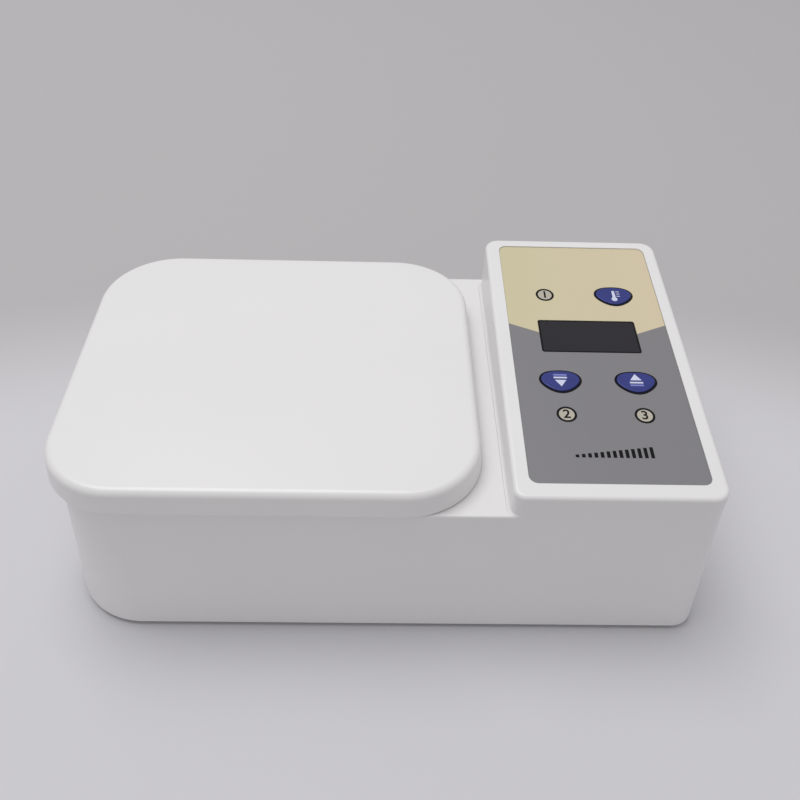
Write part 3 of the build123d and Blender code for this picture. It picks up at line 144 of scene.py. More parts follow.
def laminate(name, trace_pitch=2.5, area_width=11):
    """Solder-masked laminate: runs of parallel copper, along one axis or the other by area."""
    run_edge = 0.72
    run_face = 0.78
    copper_relief = 0.035
    material = finish(name, ("#1c5a37", "#174d2f"), (0.28, 0.38), mottle=18, grain=1.2, relief=0.01)
    tree = material.node_tree
    areas = add_node(tree, "ShaderNodeTexVoronoi", {
        "Vector": tree.nodes["place"].outputs["Object"],
        "Scale": 1000 / area_width,
    }, distance="CHEBYCHEV")
    turn = add_node(tree, "ShaderNodeMath", {0: areas.outputs["Color"], 1: 0.5},
                    operation="GREATER_THAN")
    runs = add_node(tree, "ShaderNodeMix", {
        0: turn.outputs[0],
        2: bands(material, "X", trace_pitch),
        3: bands(material, "Y", trace_pitch),
    })
    copper = add_node(tree, "ShaderNodeMapRange",
                      {"Value": runs.outputs[0], "From Min": run_edge, "From Max": run_face})
    paint_over(material, copper.outputs[0], "#2c7a4a")
    add_relief(material, copper.outputs[0], copper_relief)
    return material


power_laminate = laminate("glass laminate green mask")
coat(power_laminate, "power_board")


# Fasteners: screws, studs, nuts and washers of zinc-plated steel, cold headed and rolled.
# The plating is bright and slightly blue, with fine marks from tumbling.
zinc_steel = finish("steel zinc plated", ("#c3c6ca", "#a9adb4"), (0.26, 0.42),
                    mottle=2.5, grain=0.5, relief=0.01, values={"Metallic": 1.0})
coat(zinc_steel, "power_board_screws")


# Transformer: a stack of varnished iron stampings with a taped winding round its middle limb.
# The stampings show as fine lines across the stack, drawn at 1 mm, twice their real thickness.
core_iron = finish("iron stampings varnished", ("#54504b", "#3f3c39"), (0.35, 0.5),
                   mottle=6, grain=1.0, relief=0.02, values={"Metallic": 0.7})
add_relief(core_iron, bands(core_iron, "Y", pitch=1.0), depth=0.06)
coat(core_iron, "transformer_core")
winding_tape = finish("polyester tape yellow", ("#d8b13c", "#c99f2e"), (0.25, 0.35),
                      mottle=8, grain=2.0, relief=0.04)
add_relief(winding_tape, bands(winding_tape, "Z", pitch=6.0, profile="SAW"), depth=0.08)
coat(winding_tape, "transformer_winding")


# Relay: a sealed switch in a moulded polyester case, soldered to the board. The case is a
# mid blue, with a smooth face whose gloss is a little uneven.
relay_case = finish("polyester case blue", ("#2a64ad", "#23579b"), (0.3, 0.4),
                    mottle=9, grain=1.0, relief=0.01)
coat(relay_case, "relay")


# Capacitor: an aluminium can in a shrunk plastic sleeve, with a pale stripe down one side
# and the can's bare end on top.
def past(material, direction, point, soft=0.05):
    """A mask that is 1 past a point along a direction, with an edge that is soft millimetres wide."""
    tree = material.node_tree
    place = tree.nodes["place"].outputs["Object"]
    along = add_node(tree, "ShaderNodeVectorMath", {0: place, 1: direction}, operation="DOT_PRODUCT")
    edge = Vector(direction).dot(Vector(point))
    mask = add_node(tree, "ShaderNodeMapRange", {
        "Value": along.outputs["Value"],
        "From Min": edge - soft / 2000,
        "From Max": edge + soft / 2000,
    })
    return mask.outputs[0]


sleeve = finish("pvc sleeve shrunk", ("#20242e", "#191c25"), (0.22, 0.3),
                mottle=6, grain=1.5, relief=0.02)
can_low, can_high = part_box("capacitor")
stripe_depth = 0.0012
sleeve_turn = 0.0006
stripe = past(sleeve, (0, -1, 0), (0, can_low.y + stripe_depth, 0))
paint_over(sleeve, stripe, "#b9bcc4")
can_end = past(sleeve, (0, 0, 1), (0, 0, can_high.z - sleeve_turn))
paint_over(sleeve, can_end, "#c5c7cb", metal=True)
coat(sleeve, "capacitor")


# Fuse: a glass cartridge with nickel-plated caps, pressed into two sprung bronze clips. The
# glass is clear with a faint green cast, and the tinned clips are a soft, uneven silver.
def combine(material, operation, first, second):
    """A mask made from two others: their product, difference or larger one."""
    joined = add_node(material.node_tree, "ShaderNodeMath", {0: first, 1: second},
                      operation=operation)
    return joined.outputs[0]


fuse_glass = finish("soda glass tube", ("#dfe8e4", "#d2dfda"), (0.03, 0.06),
                    mottle=6, grain=3.0, relief=0.002, values={"IOR": 1.52})
fuse_low, fuse_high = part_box("fuse")
cap_length = 0.0055
cap_right = past(fuse_glass, (1, 0, 0), (fuse_high.x - cap_length, 0, 0))
cap_left = past(fuse_glass, (-1, 0, 0), (fuse_low.x + cap_length, 0, 0))
caps = combine(fuse_glass, "MAXIMUM", cap_left, cap_right)
glass = combine(fuse_glass, "SUBTRACT", 1.0, caps)
paint_over(fuse_glass, caps, "#c9c8c3", metal=True)
glass_tree = fuse_glass.node_tree
glass_tree.links.new(glass, glass_tree.nodes["Principled BSDF"].inputs["Transmission Weight"])
coat(fuse_glass, "fuse")
clip_bronze = finish("bronze tinned", ("#c8c4b8", "#aaa79b"), (0.28, 0.4),
                     mottle=2, grain=0.4, relief=0.01, values={"Metallic": 1.0})
coat(clip_bronze, "fuse_clips")


# Terminals: two blocks of green polyamide soldered to the board, with a round well over each
# way. In the longer block the plain round head of a plated steel clamp screw lies in each well.
terminal_green = finish("polyamide green", ("#2e8b50", "#287d47"), (0.42, 0.52),
                        mottle=7, grain=0.5, relief=0.02)
coat(terminal_green, "mains_terminals", "heater_terminals")


def grown(name, tree, values, place, body):
    """A piece on a body: a plain mesh from a Geometry Nodes tree with its inputs set by name."""
    piece = bpy.data.objects.new(name, bpy.data.meshes.new(name))
    bpy.context.scene.collection.objects.link(piece)
    modifier = piece.modifiers.new(name, "NODES")
    modifier.node_group = tree
    for socket in tree.interface.items_tree:
        if socket.in_out == "INPUT":
            modifier[socket.identifier] = values[socket.name]
    depsgraph = bpy.context.evaluated_depsgraph_get()
    shaped = bpy.data.meshes.new_from_object(piece.evaluated_get(depsgraph))
    piece.modifiers.remove(modifier)
    piece.data = shaped
    piece.data.transform(place)
    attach(piece, body)
    return piece


def tree_with(name, inputs):
    """An empty Geometry Nodes tree with these named inputs, its input node and its output node."""
    tree = bpy.data.node_groups.new(name, "GeometryNodeTree")
    tree.interface.new_socket("Geometry", in_out="OUTPUT", socket_type="NodeSocketGeometry")
    for socket, kind in inputs.items():
        tree.interface.new_socket(socket, in_out="INPUT", socket_type=kind)
    return tree, add_node(tree, "NodeGroupInput").outputs, add_node(tree, "NodeGroupOutput")


def close_tree(tree, output, instances, material):
    """End a tree: make its instances real and give them their material."""
    real = add_node(tree, "GeometryNodeRealizeInstances", {0: instances})
    done = add_node(tree, "GeometryNodeSetMaterial", {"Geometry": real.outputs[0], "Material": material})
    tree.links.new(done.outputs[0], output.inputs[0])


screw_tree, given, screw_end = tree_with("clamp screw heads in a row", {
    "Count": "NodeSocketInt",
    "Pitch": "NodeSocketFloat",
    "Head Radius": "NodeSocketFloat",
    "Head Height": "NodeSocketFloat",
    "Slot Width": "NodeSocketFloat",
})
step = add_node(screw_tree, "ShaderNodeCombineXYZ", {"Y": given["Pitch"]})
row = add_node(screw_tree, "GeometryNodeMeshLine",
               {"Count": given["Count"], "Offset": step.outputs[0]})
head_corners = 24
slot_length = 0.01
slot_turn = 0.6
head = add_node(screw_tree, "GeometryNodeMeshCylinder", {
    "Vertices": head_corners,
    "Radius": given["Head Radius"],
    "Depth": given["Head Height"],
})
slot_size = add_node(screw_tree, "ShaderNodeCombineXYZ", {
    "X": slot_length,
    "Y": given["Slot Width"],
    "Z": given["Head Height"],
})
slot_lift = add_node(screw_tree, "ShaderNodeCombineXYZ", {"Z": given["Head Height"]})
slot_cube = add_node(screw_tree, "GeometryNodeMeshCube", {"Size": slot_size.outputs[0]})
slot_bar = add_node(screw_tree, "GeometryNodeTransform", {
    "Geometry": slot_cube.outputs[0],
    "Translation": slot_lift.outputs[0],
    "Rotation": (0, 0, slot_turn),
})
# The bar lies on the head and only touches it, so no slot is cut and the head stays plain. A
# smaller lift would cut one. The solver is the exact one: the default one leaves this mesh empty.
screw_head = add_node(screw_tree, "GeometryNodeMeshBoolean", {0: head.outputs[0], 1: slot_bar.outputs[0]},
                      operation="DIFFERENCE", solver="EXACT")
heads = add_node(screw_tree, "GeometryNodeInstanceOnPoints",
                 {"Points": row.outputs[0], "Instance": screw_head.outputs[0]})
close_tree(screw_tree, screw_end, heads.outputs[0], zinc_steel)
block_low, block_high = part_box("heater_terminals")
screw_pitch = 0.005
screw_sink = 0.001
screw_count = int((block_high.y - block_low.y) // screw_pitch)
first_screw = Vector((
    (block_low.x + block_high.x) / 2,
    (block_low.y + block_high.y - (screw_count - 1) * screw_pitch) / 2,
    block_high.z - screw_sink,
))
grown("terminal_screws", screw_tree, {
    "Count": screw_count,
    "Pitch": screw_pitch,
    "Head Radius": 0.00138,
    "Head Height": 0.0009,
    "Slot Width": 0.0004,
}, Matrix.Translation(first_screw), "base")


# Leads: stranded copper in silicone rubber, cut to length and crimped. The heater and sensor
# leads are a soft white, live is brown, neutral is blue, and earth is green over yellow.
heater_silicone_lead = finish("silicone rubber white", ("#e4dfd6", "#d8d2c8"), (0.5, 0.62),
                              mottle=6, grain=0.8, relief=0.02)
coat(heater_silicone_lead, "heater_leads", "sensor_lead")
mains_silicone = finish("silicone rubber brown and blue", ("#5a3a26", "#4d301e"), (0.45, 0.58),
                        mottle=6, grain=0.8, relief=0.02)
inlet_low, inlet_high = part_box("mains_inlet")
inlet_middle = (inlet_low + inlet_high) / 2
neutral_side = past(mains_silicone, (-1, 0, 0), (inlet_middle.x, 0, 0))
paint_over(mains_silicone, neutral_side, "#2355a0")
coat(mains_silicone, "mains_leads")
earth_silicone = finish("silicone rubber green and yellow", ("#d9c63a", "#cbb830"), (0.45, 0.58),
                        mottle=6, grain=0.8, relief=0.02)
earth_tree = earth_silicone.node_tree
facing = add_node(earth_tree, "ShaderNodeSeparateXYZ",
                  {0: earth_tree.nodes["place"].outputs["Normal"]})
upper = add_node(earth_tree, "ShaderNodeMapRange",
                 {"Value": facing.outputs["Z"], "From Min": 0.05, "From Max": 0.15})
paint_over(earth_silicone, upper.outputs[0], "#2f8a3c")
earth_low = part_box("earth_lead")[0]
tag_length = 0.0125
ring_tag = past(earth_silicone, (-1, 0, 0), (earth_low.x + tag_length, 0, 0))
paint_over(earth_silicone, ring_tag, "#c9c8c3", metal=True)
coat(earth_silicone, "earth_lead")


# Ribbon: parallel wires moulded flat in grey vinyl, with a red edge wire, plugged into a black
# header on each board. The wires show as ridges along the cable.
ribbon_vinyl = finish("vinyl ribbon grey", ("#9c9d9f", "#8f9093"), (0.45, 0.55),
                      mottle=9, grain=1.0, relief=0.01)
ribbon_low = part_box("ribbon_cable")[0]
wire_pitch = 1.27
add_relief(ribbon_vinyl, bands(ribbon_vinyl, "X", pitch=wire_pitch), depth=0.25)
edge_wire = past(ribbon_vinyl, (-1, 0, 0), (ribbon_low.x + wire_pitch / 1000, 0, 0))
paint_over(ribbon_vinyl, edge_wire, "#a83a34")
coat(ribbon_vinyl, "ribbon_cable")
switch_black = finish("polyamide black", ("#1b1b1d", "#232326"), (0.42, 0.55),
                      mottle=6, grain=0.5, relief=0.02)
coat(switch_black, "ribbon_connectors")


# Mains inlet: a black moulded polyester socket, snapped into the rear pocket, with three
# nickel-plated brass pins that carry on as solder tabs.
inlet_black = finish("polyester black moulded", ("#161617", "#202022"), (0.38, 0.5),
                     mottle=8, grain=0.5, relief=0.02)
coat(inlet_black, "mains_inlet", "rocker_switch_body")
pin_nickel = finish("brass nickel plated", ("#cfccc4", "#b8b5ac"), (0.18, 0.28),
                    mottle=2, grain=0.4, relief=0.004, values={"Metallic": 1.0})
coat(pin_nickel, "inlet_pins", "rocker_switch_tabs")


# Rocker: the paddle of the mains switch, black polyamide, with the usual bar and ring for on
# and off, pad printed in white on its two faces.
rocker_black = finish("polyamide rocker", ("#19191b", "#222225"), (0.3, 0.4),
                      mottle=5, grain=0.6, relief=0.01)
coat(rocker_black, "rocker")
print_white = finish("ink white pad printed", ("#e3e4e6", "#d9dadd"), (0.45, 0.55),
                     mottle=2, grain=0.3, relief=0.002)
mark_rise = 0.0042
mark_sink = 0.00001
mark_thickness = 0.04
mark_reach = 1.6
off_hole = 1.05
on_half = 0.35
behind_rocker = 0.01


def place_mesh(name, mesh, place, material, body):
    """Close a new mesh, turn its faces outwards, put it in place and let it ride on a body."""
    work = bmesh.new()
    work.from_mesh(mesh)
    bmesh.ops.remove_doubles(work, verts=work.verts, dist=1e-4)
    bmesh.ops.recalc_face_normals(work, faces=work.faces)
    work.to_mesh(mesh)
    work.free()
    mesh.transform(place)
    mesh.materials.clear()
    mesh.materials.append(material)
    piece = bpy.data.objects.new(name, mesh)
    bpy.context.scene.collection.objects.link(piece)
    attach(piece, body)
    return piece


def layer(name, curve, thickness, place, material, body):
    """A thin closed layer from a flat curve drawn in millimetres, from a plane upwards."""
    curve.dimensions = "2D"
    curve.fill_mode = "BOTH"
    curve.extrude = thickness / 2
    holder = bpy.data.objects.new(name, curve)
    mesh = bpy.data.meshes.new_from_object(holder)
    bpy.data.objects.remove(holder)
    mesh.name = name
    lift = Matrix.Translation((0, 0, thickness / 2000))
    return place_mesh(name, mesh, place @ lift @ Matrix.Scale(0.001, 4), material, body)


def outlined(name, outlines, thickness, place, material, body):
    """A layer within closed outlines, given in millimetres; one inside another is a hole."""
    curve = bpy.data.curves.new(name, "CURVE")
    for outline in outlines:
        spline = curve.splines.new("POLY")
        spline.points.add(len(outline) - 1)
        for point, (across, along) in zip(spline.points, outline):
            point.co = (across, along, 0, 1)
        spline.use_cyclic_u = True
    return layer(name, curve, thickness, place, material, body)


def ring_points(radius, middle=(0, 0), start=0.0, end=360.0, count=72):
    """Points round a circle or an arc, from one angle to another in degrees."""
    turns = [math.radians(start + (end - start) * step / count) for step in range(count)]
    return [(middle[0] + radius * math.cos(t), middle[1] + radius * math.sin(t)) for t in turns]


def box_points(left, right, low, high):
    """The corners of a rectangle."""
    return [(left, low), (right, low), (right, high), (left, high)]


def on_rocker(rise):
    """The plane of the rocker's face at a height from its middle, seen from behind."""
    low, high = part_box("rocker")
    middle = (low + high) / 2
    start = Vector((middle.x, high.y + behind_rocker, middle.z + rise))
    _, hit, normal, _ = nodes["rocker"].ray_cast(start, Vector((0, -1, 0)))
    right = Vector((-1, 0, 0))
    plane = Matrix((right, normal.cross(right), normal)).transposed().to_4x4()
    return Matrix.Translation(hit - normal * mark_sink) @ plane


outlined("rocker_mark_on", [box_points(-on_half, on_half, -mark_reach, mark_reach)], mark_thickness,
         on_rocker(mark_rise), print_white, "rocker")
outlined("rocker_mark_off", [ring_points(mark_reach), ring_points(off_hole)], mark_thickness,
         on_rocker(-mark_rise), print_white, "rocker")


# Housing: one injection-moulded ABS shell, deck and control tower together, in a polished
# tool. It is a warm white with a soft gloss, and the skin has a slight wave from cooling.
def white_abs(name):
    """Glossy white ABS: a long shallow wave, in millimetres, under a fine one."""
    wave_length = 28
    wave_depth = 0.05
    material = finish(name, ("#e9e8e7", "#e6e5e5"), (0.27, 0.33), mottle=60, grain=2.5, relief=0.004,
                      values={"IOR": 1.53})
    tree = material.node_tree
    wave = add_node(tree, "ShaderNodeTexNoise", {
        "Vector": tree.nodes["place"].outputs["Object"],
        "Scale": 1000 / wave_length,
        "Detail": 1.0,
    })
    add_relief(material, wave.outputs[0], wave_depth)
    return material


shell_abs = white_abs("abs glossy white shell")
coat(shell_abs, "housing")

# The deck's height and half depth, the tower's left wall and its corners, and the fillet at the
# tower's foot, in metres.
deck_height = 0.05835
tower_left = 0.040405
deck_half_depth = 0.06625
front_corner = 0.004
rear_corner = 0.0055
cove_radius = 0.0013
cove_root = 0.0002
cove_steps = 8
corner_steps = 12


def cove_path():
    """Where the cove runs round the tower's foot: place, outward direction and radius."""
    rows = []
    for step in range(corner_steps + 1):
        share = step / corner_steps
        turn = math.radians(270 - 90 * share)
        middle = Vector((tower_left + front_corner, -deck_half_depth + front_corner, deck_height))
        out = Vector((math.cos(turn), math.sin(turn), 0))
        rows.append((middle + out * front_corner, out, cove_radius * share))
    for step in range(corner_steps + 1):
        share = step / corner_steps
        turn = math.radians(180 - 90 * share)
        middle = Vector((tower_left + rear_corner, deck_half_depth - rear_corner, deck_height))
        out = Vector((math.cos(turn), math.sin(turn), 0))
        rows.append((middle + out * rear_corner, out, cove_radius * (1 - share)))
    return rows


def cove_mesh():
    """The fillet between the deck and the tower's left wall, as one closed strip."""
    corners = []
    faces = []
    across = cove_steps + 2
    for place, out, radius in cove_path():
        size = max(radius, cove_root / 10)
        for step in range(cove_steps + 1):
            turn = math.pi / 2 * step / cove_steps
            reach = size * (1 - math.sin(turn))
            rise = size * (1 - math.cos(turn))
            corners.append(place + out * reach + Vector((0, 0, rise)))
        corners.append(place - out * cove_root - Vector((0, 0, cove_root)))
    rows = len(corners) // across
    for row_index in range(rows - 1):
        for column in range(across):
            here = row_index * across
            after = (column + 1) % across
            faces.append((here + column, here + after, here + across + after, here + across + column))
    faces.append(tuple(range(across)))
    faces.append(tuple(range((rows - 1) * across, rows * across)))
    mesh = bpy.data.meshes.new("tower_cove")
    mesh.from_pydata(corners, [], faces)
    return mesh


cove = place_mesh("tower_cove", cove_mesh(), Matrix.Identity(4), shell_abs, "base")
for face in cove.data.polygons:
    face.use_smooth = len(face.vertices) == 4


# Heater: an etched foil mat between layers of silicone rubber, pressed to the pan by an
# aluminium plate. The rubber is brick red and shows the weave of the glass cloth inside it.
heater_rubber = finish("silicone rubber on glass cloth", ("#b5502c", "#a34526"), (0.5, 0.6),
                       mottle=12, grain=0.6, relief=0.02)
for weave_way in ("X", "Y"):
    add_relief(heater_rubber, bands(heater_rubber, weave_way, pitch=1.0), depth=0.03)
coat(heater_rubber, "heater_mat")
rolled_aluminium = finish("aluminium rolled sheet", ("#cfd0d2", "#bcbdc0"), (0.3, 0.42), mottle=15,
                          grain=0.8, relief=0.01, stretch=(0.05, 1, 1), values={"Metallic": 1.0})
coat(rolled_aluminium, "clamp_plate")


# Insulation and shield: a ceramic-fibre pad held up by a folded tray of galvanised steel.
# The pad is chalky and felted, and the zinc on the tray has a frosty spangle.
ceramic_felt = finish("ceramic fibre felt", ("#ebe7de", "#ddd8cc"), (0.95, 1.0),
                      mottle=7, grain=0.7, relief=0.25, stretch=(0.4, 1, 1))
coat(ceramic_felt, "insulation_pad")
galvanised = finish("steel galvanised", ("#b9bdc0", "#9ea3a7"), (0.3, 0.5), mottle=4, grain=0.8,
                    relief=0.01, values={"Metallic": 1.0})
spangle_tree = galvanised.node_tree
spangle_width = 7
spangle_strength = 0.6
spangle = add_node(spangle_tree, "ShaderNodeTexVoronoi", {
    "Vector": spangle_tree.nodes["place"].outputs["Object"],
    "Scale": 1000 / spangle_width,
})
flakes = combine(galvanised, "MULTIPLY", spangle.outputs["Color"], spangle_strength)
paint_over(galvanised, flakes, "#d3d6d8")
coat(galvanised, "heat_shield")
coat(zinc_steel, "stack_studs", "stack_nuts")


# Sensor and cut-out: a nickel-plated ring lug that reads the pan, and a round bimetal switch
# in brown phenolic that guards it. The switch has a steel flange and two tinned tabs.
sensor_nickel = finish("copper lug nickel plated", ("#cbc9c2", "#b4b1a8"), (0.2, 0.32),
                       mottle=3, grain=0.5, relief=0.006, values={"Metallic": 1.0})
coat(sensor_nickel, "temperature_sensor")
phenolic = finish("phenolic brown moulded", ("#3b2a20", "#33241b"), (0.35, 0.48),
                  mottle=5, grain=0.6, relief=0.02)
cutout_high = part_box("thermal_cutout")[1]
cutout_flange = 0.0012
cutout_tab = 0.008
steel_flange = past(phenolic, (0, 0, 1), (0, 0, cutout_high.z - cutout_flange))
tinned_tabs = past(phenolic, (1, 0, 0), (cutout_high.x - cutout_tab, 0, 0))
paint_over(phenolic, combine(phenolic, "MAXIMUM", steel_flange, tinned_tabs), "#c2c4c6", metal=True)
coat(phenolic, "thermal_cutout")
coat(zinc_steel, "sensor_screw", "cutout_screws")


# Melting pan: one gravity casting in aluminium, a flange with a large and two small wells. The
# cast skin is satin and faintly pebbled, and it darkens in slow clouds from heat and old wax.
cast_aluminium = finish("aluminium cast satin", ("#c6c7c8", "#a9aaac"), (0.32, 0.48),
                        mottle=16, grain=0.7, relief=0.03, values={"Metallic": 1.0})
coat(cast_aluminium, "melting_pan")
gasket_silicone = finish("silicone gasket red", ("#9d3b2e", "#8f3327"), (0.5, 0.62),
                         mottle=9, grain=0.8, relief=0.02)
coat(gasket_silicone, "pan_gasket")
coat(zinc_steel, "pan_studs", "pan_washers", "pan_nuts")


# Lid: a flat ABS cover, moulded in the same white as the shell, that drops over the pan and
# rests on its lip by short ribs. Its top is polished and its edge is well rounded.
lid_abs = white_abs("abs glossy white lid")
coat(lid_abs, "lid")


# Display board: the small board under the sloping panel, with three key switches, the number
# display, three lamps and the ribbon's header, hung from four bosses by screws.
display_laminate = laminate("glass laminate green mask small", trace_pitch=2.0, area_width=8)
coat(display_laminate, "display_board")
coat(zinc_steel, "display_board_screws")
coat(switch_black, "key_switches", "key_plunger_down", "key_plunger_up", "key_plunger_unit")


# Label film: printed polycarbonate with its print on the underside, glued into the recess in
# the sloping panel. The face is a velvet satin, warm beige at the rear and grey at the front.
film_slope = math.radians(4.76)
film_thickness = 0.00055
film_low, film_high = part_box("label_film")
film_length = (film_high.y - film_low.y - film_thickness * math.sin(film_slope)) / math.cos(film_slope)
film_corner = Vector((film_low.x, film_low.y, film_high.z - film_length * math.sin(film_slope)))
film_across = Vector((1, 0, 0))
film_up = Vector((0, math.cos(film_slope), math.sin(film_slope)))
film_out = film_across.cross(film_up)
film_plane = Matrix.Translation(film_corner)
film_plane @= Matrix((film_across, film_up, film_out)).transposed().to_4x4()


def on_film(across, along, rise=0.0):
    """A plane on the film: millimetres from its front left corner, and above its face."""
    return film_plane @ Matrix.Translation((across / 1000, along / 1000, rise / 1000))


film_satin = finish("polycarbonate film printed grey", ("#7e7c7e", "#7b7a7e"), (0.36, 0.44),
                    mottle=70, grain=0.6, relief=0.006, values={"IOR": 1.58})
fold_across = 29.55
fold_along = 62.9
fold_rise = 0.427
fold = on_film(fold_across, fold_along).translation
beige = combine(
    film_satin, "MULTIPLY",
    past(film_satin, film_up - film_across * fold_rise, fold, soft=0.15),
    past(film_satin, film_up + film_across * fold_rise, fold, soft=0.15),
)
paint_over(film_satin, beige, "#cec5a1")
# Painted sheen: the beige is painted lighter and pinker towards the right.
painted_sheen_from = on_film(30, 0).translation
painted_sheen_right = past(film_satin, film_across, painted_sheen_from, soft=60)
paint_over(film_satin, combine(film_satin, "MULTIPLY", beige, painted_sheen_right), "#d5c7a8")
coat(film_satin, "label_film")


# Prints on the film: screen-printed rings and numbers over the three lamps, a dark line round
# each key's opening, and a row of rising bars along the front. The line round each key is print,
# widened towards the front by a painted shadow of the raised key.
ink_black = finish("ink black screen printed", ("#050506", "#0a0a0b"), (0.55, 0.65), mottle=3, grain=0.4,
                   relief=0.002, values={"Specular IOR Level": 0.15})
ink_pale = finish("ink pale window", ("#bcb5a6", "#b3ad9f"), (0.45, 0.55),
                  mottle=3, grain=0.4, relief=0.002)
print_sink = 0.01
print_thickness = 0.04
lamp_ring_outer = 3.55
lamp_ring_inner = 2.7
ring_proud = 0.01
number_size = 5.4
number_weight = 0.1
number_rise = 0.015
number_thickness = 0.02
lamp_rings = {"1": (15.65, 92.2), "2": (15.95, 29.9), "3": (43.05, 29.8)}
for number, (across, along) in lamp_rings.items():
    plane = on_film(across, along, -print_sink)
    outlined(f"lamp_ring_{number}", [ring_points(lamp_ring_outer), ring_points(lamp_ring_inner)],
             print_thickness, plane, ink_black, "base")
    outlined(f"lamp_face_{number}", [ring_points(lamp_ring_inner)], print_thickness - ring_proud,
             plane, ink_pale, "base")
    figure = bpy.data.curves.new(f"lamp_number_{number}", "FONT")
    figure.body = number
    figure.size = number_size
    figure.offset = number_weight
    figure.align_x = "CENTER"
    figure.align_y = "CENTER"
    layer(f"lamp_number_{number}", figure, number_thickness, on_film(across, along, number_rise),
          ink_black, "base")


def reach_on_film(name, lowest):
    """How far the part of a node above a height reaches on the film, in millimetres."""
    to_film = film_plane.inverted()
    corners = [to_film @ corner.co * 1000 for corner in nodes[name].data.vertices]
    upper = [corner for corner in corners if corner.z > lowest]
    across = [corner.x for corner in upper]
    along = [corner.y for corner in upper]
    return min(across), max(across), min(along), max(along)


key_middles = {}
for name in ("down", "up", "unit"):
    left, right, front, rear = reach_on_film(f"key_{name}", lowest=0)
    key_middles[name] = ((left + right) / 2, (front + rear) / 2)
key_reach = 9.5
face_margin = 0.02
line_side = 0.62
# Painted shadow: the line widens by this much towards the front, where the raised key casts shade.
painted_shadow_swell = 0.25


def film_hole(middle):
    """The edge of the film's opening round a key, in order, from the key's middle."""
    to_film = film_plane.inverted()
    found = {}
    for corner in nodes["label_film"].data.vertices:
        across, along, rise = (to_film @ corner.co) * 1000
        away = Vector((across - middle[0], along - middle[1]))
        if abs(rise) < face_margin and away.length < key_reach:
            found[round(math.atan2(away.y, away.x), 3)] = away
    return [found[turn] for turn in sorted(found)]


def grow_outline(points, width_at):
    """An outline moved outwards by a width that depends on the direction it faces."""
    moved = []
    for index, point in enumerate(points):
        run = points[(index + 1) % len(points)] - points[index - 1]
        out = Vector((run.y, -run.x)).normalized()
        moved.append(point + out * width_at(out))
    return moved


for name, middle in key_middles.items():
    hole = film_hole(middle)
    # Printed line round the opening, widened at the front by a painted shadow.
    outer = grow_outline(hole, lambda out: line_side - painted_shadow_swell * out.y)
    outlined(f"key_line_and_shadow_{name}", [outer, hole], print_thickness, on_film(*middle, -print_sink),
             ink_black, "base")

bar_tree, given, bar_end = tree_with("rising bars", {
    "Count": "NodeSocketInt",
    "Pitch": "NodeSocketFloat",
    "Width": "NodeSocketFloat",
    "Lowest": "NodeSocketFloat",
    "Highest": "NodeSocketFloat",
    "Thickness": "NodeSocketFloat",
})
step = add_node(bar_tree, "ShaderNodeCombineXYZ", {"X": given["Pitch"]})
row = add_node(bar_tree, "GeometryNodeMeshLine",
               {"Count": given["Count"], "Offset": step.outputs[0]})
bar = add_node(bar_tree, "GeometryNodeMeshCube", {"Size": (1, 1, 1)})
foot_up = add_node(bar_tree, "GeometryNodeTransform",
                   {"Geometry": bar.outputs[0], "Translation": (0, 0.5, 0.5)})
index = add_node(bar_tree, "GeometryNodeInputIndex")
tall = add_node(bar_tree, "ShaderNodeMapRange", {
    "Value": index.outputs[0],
    "From Max": given["Count"],
    "To Min": given["Lowest"],
    "To Max": given["Highest"],
})
bar_size = add_node(bar_tree, "ShaderNodeCombineXYZ",
                    {"X": given["Width"], "Y": tall.outputs[0], "Z": given["Thickness"]})
bars = add_node(bar_tree, "GeometryNodeInstanceOnPoints",
                {"Points": row.outputs[0], "Instance": foot_up.outputs[0], "Scale": bar_size.outputs[0]})
close_tree(bar_tree, bar_end, bars.outputs[0], ink_black)
bar_count = 13
bar_pitch = 2.1
bar_left = 17.05
bar_foot = 11.0
grown("heat_scale_bars", bar_tree, {
    "Count": bar_count,
    "Pitch": bar_pitch / 1000,
    "Width": 0.0012,
    "Lowest": 0.0012,
    "Highest": 0.005,
    "Thickness": print_thickness / 1000,
}, on_film(bar_left, bar_foot, -print_sink), "base")


# Number display and lamps: a three-figure module with a black face and milky segments, and
# three domed epoxy lamps on tinned legs. Both are dark, because the melter is switched off.
display_face = finish("display face black", ("#151516", "#1b1b1c"), (0.4, 0.5),
                      mottle=8, grain=0.6, relief=0.004)
display_corners = nodes["led_display"].data.vertices
display_top = max((film_plane.inverted() @ corner.co).z for corner in display_corners)
face_level = film_corner + film_out * display_top
segment_top = 0.0001
segment_floor = 0.00035
below_face = past(display_face, -film_out, face_level - film_out * segment_top)
above_floor = past(display_face, film_out, face_level - film_out * segment_floor)
paint_over(display_face, combine(display_face, "MULTIPLY", below_face, above_floor), "#8d8b88")
coat(display_face, "led_display")
lamp_epoxy = finish("epoxy lamp red", ("#b3312b", "#a82c27"), (0.12, 0.2),
                    mottle=2, grain=0.5, relief=0.002, values={"Transmission Weight": 0.3})
between_lamps = on_film(30, 60).translation
front_lamps = past(lamp_epoxy, (0, -1, 0), between_lamps)
right_lamps = past(lamp_epoxy, (1, 0, 0), between_lamps)
paint_over(lamp_epoxy, front_lamps, "#c9a227")
paint_over(lamp_epoxy, combine(lamp_epoxy, "MULTIPLY", front_lamps, right_lamps), "#3d9a45")
coat(lamp_epoxy, "indicator_lamps")


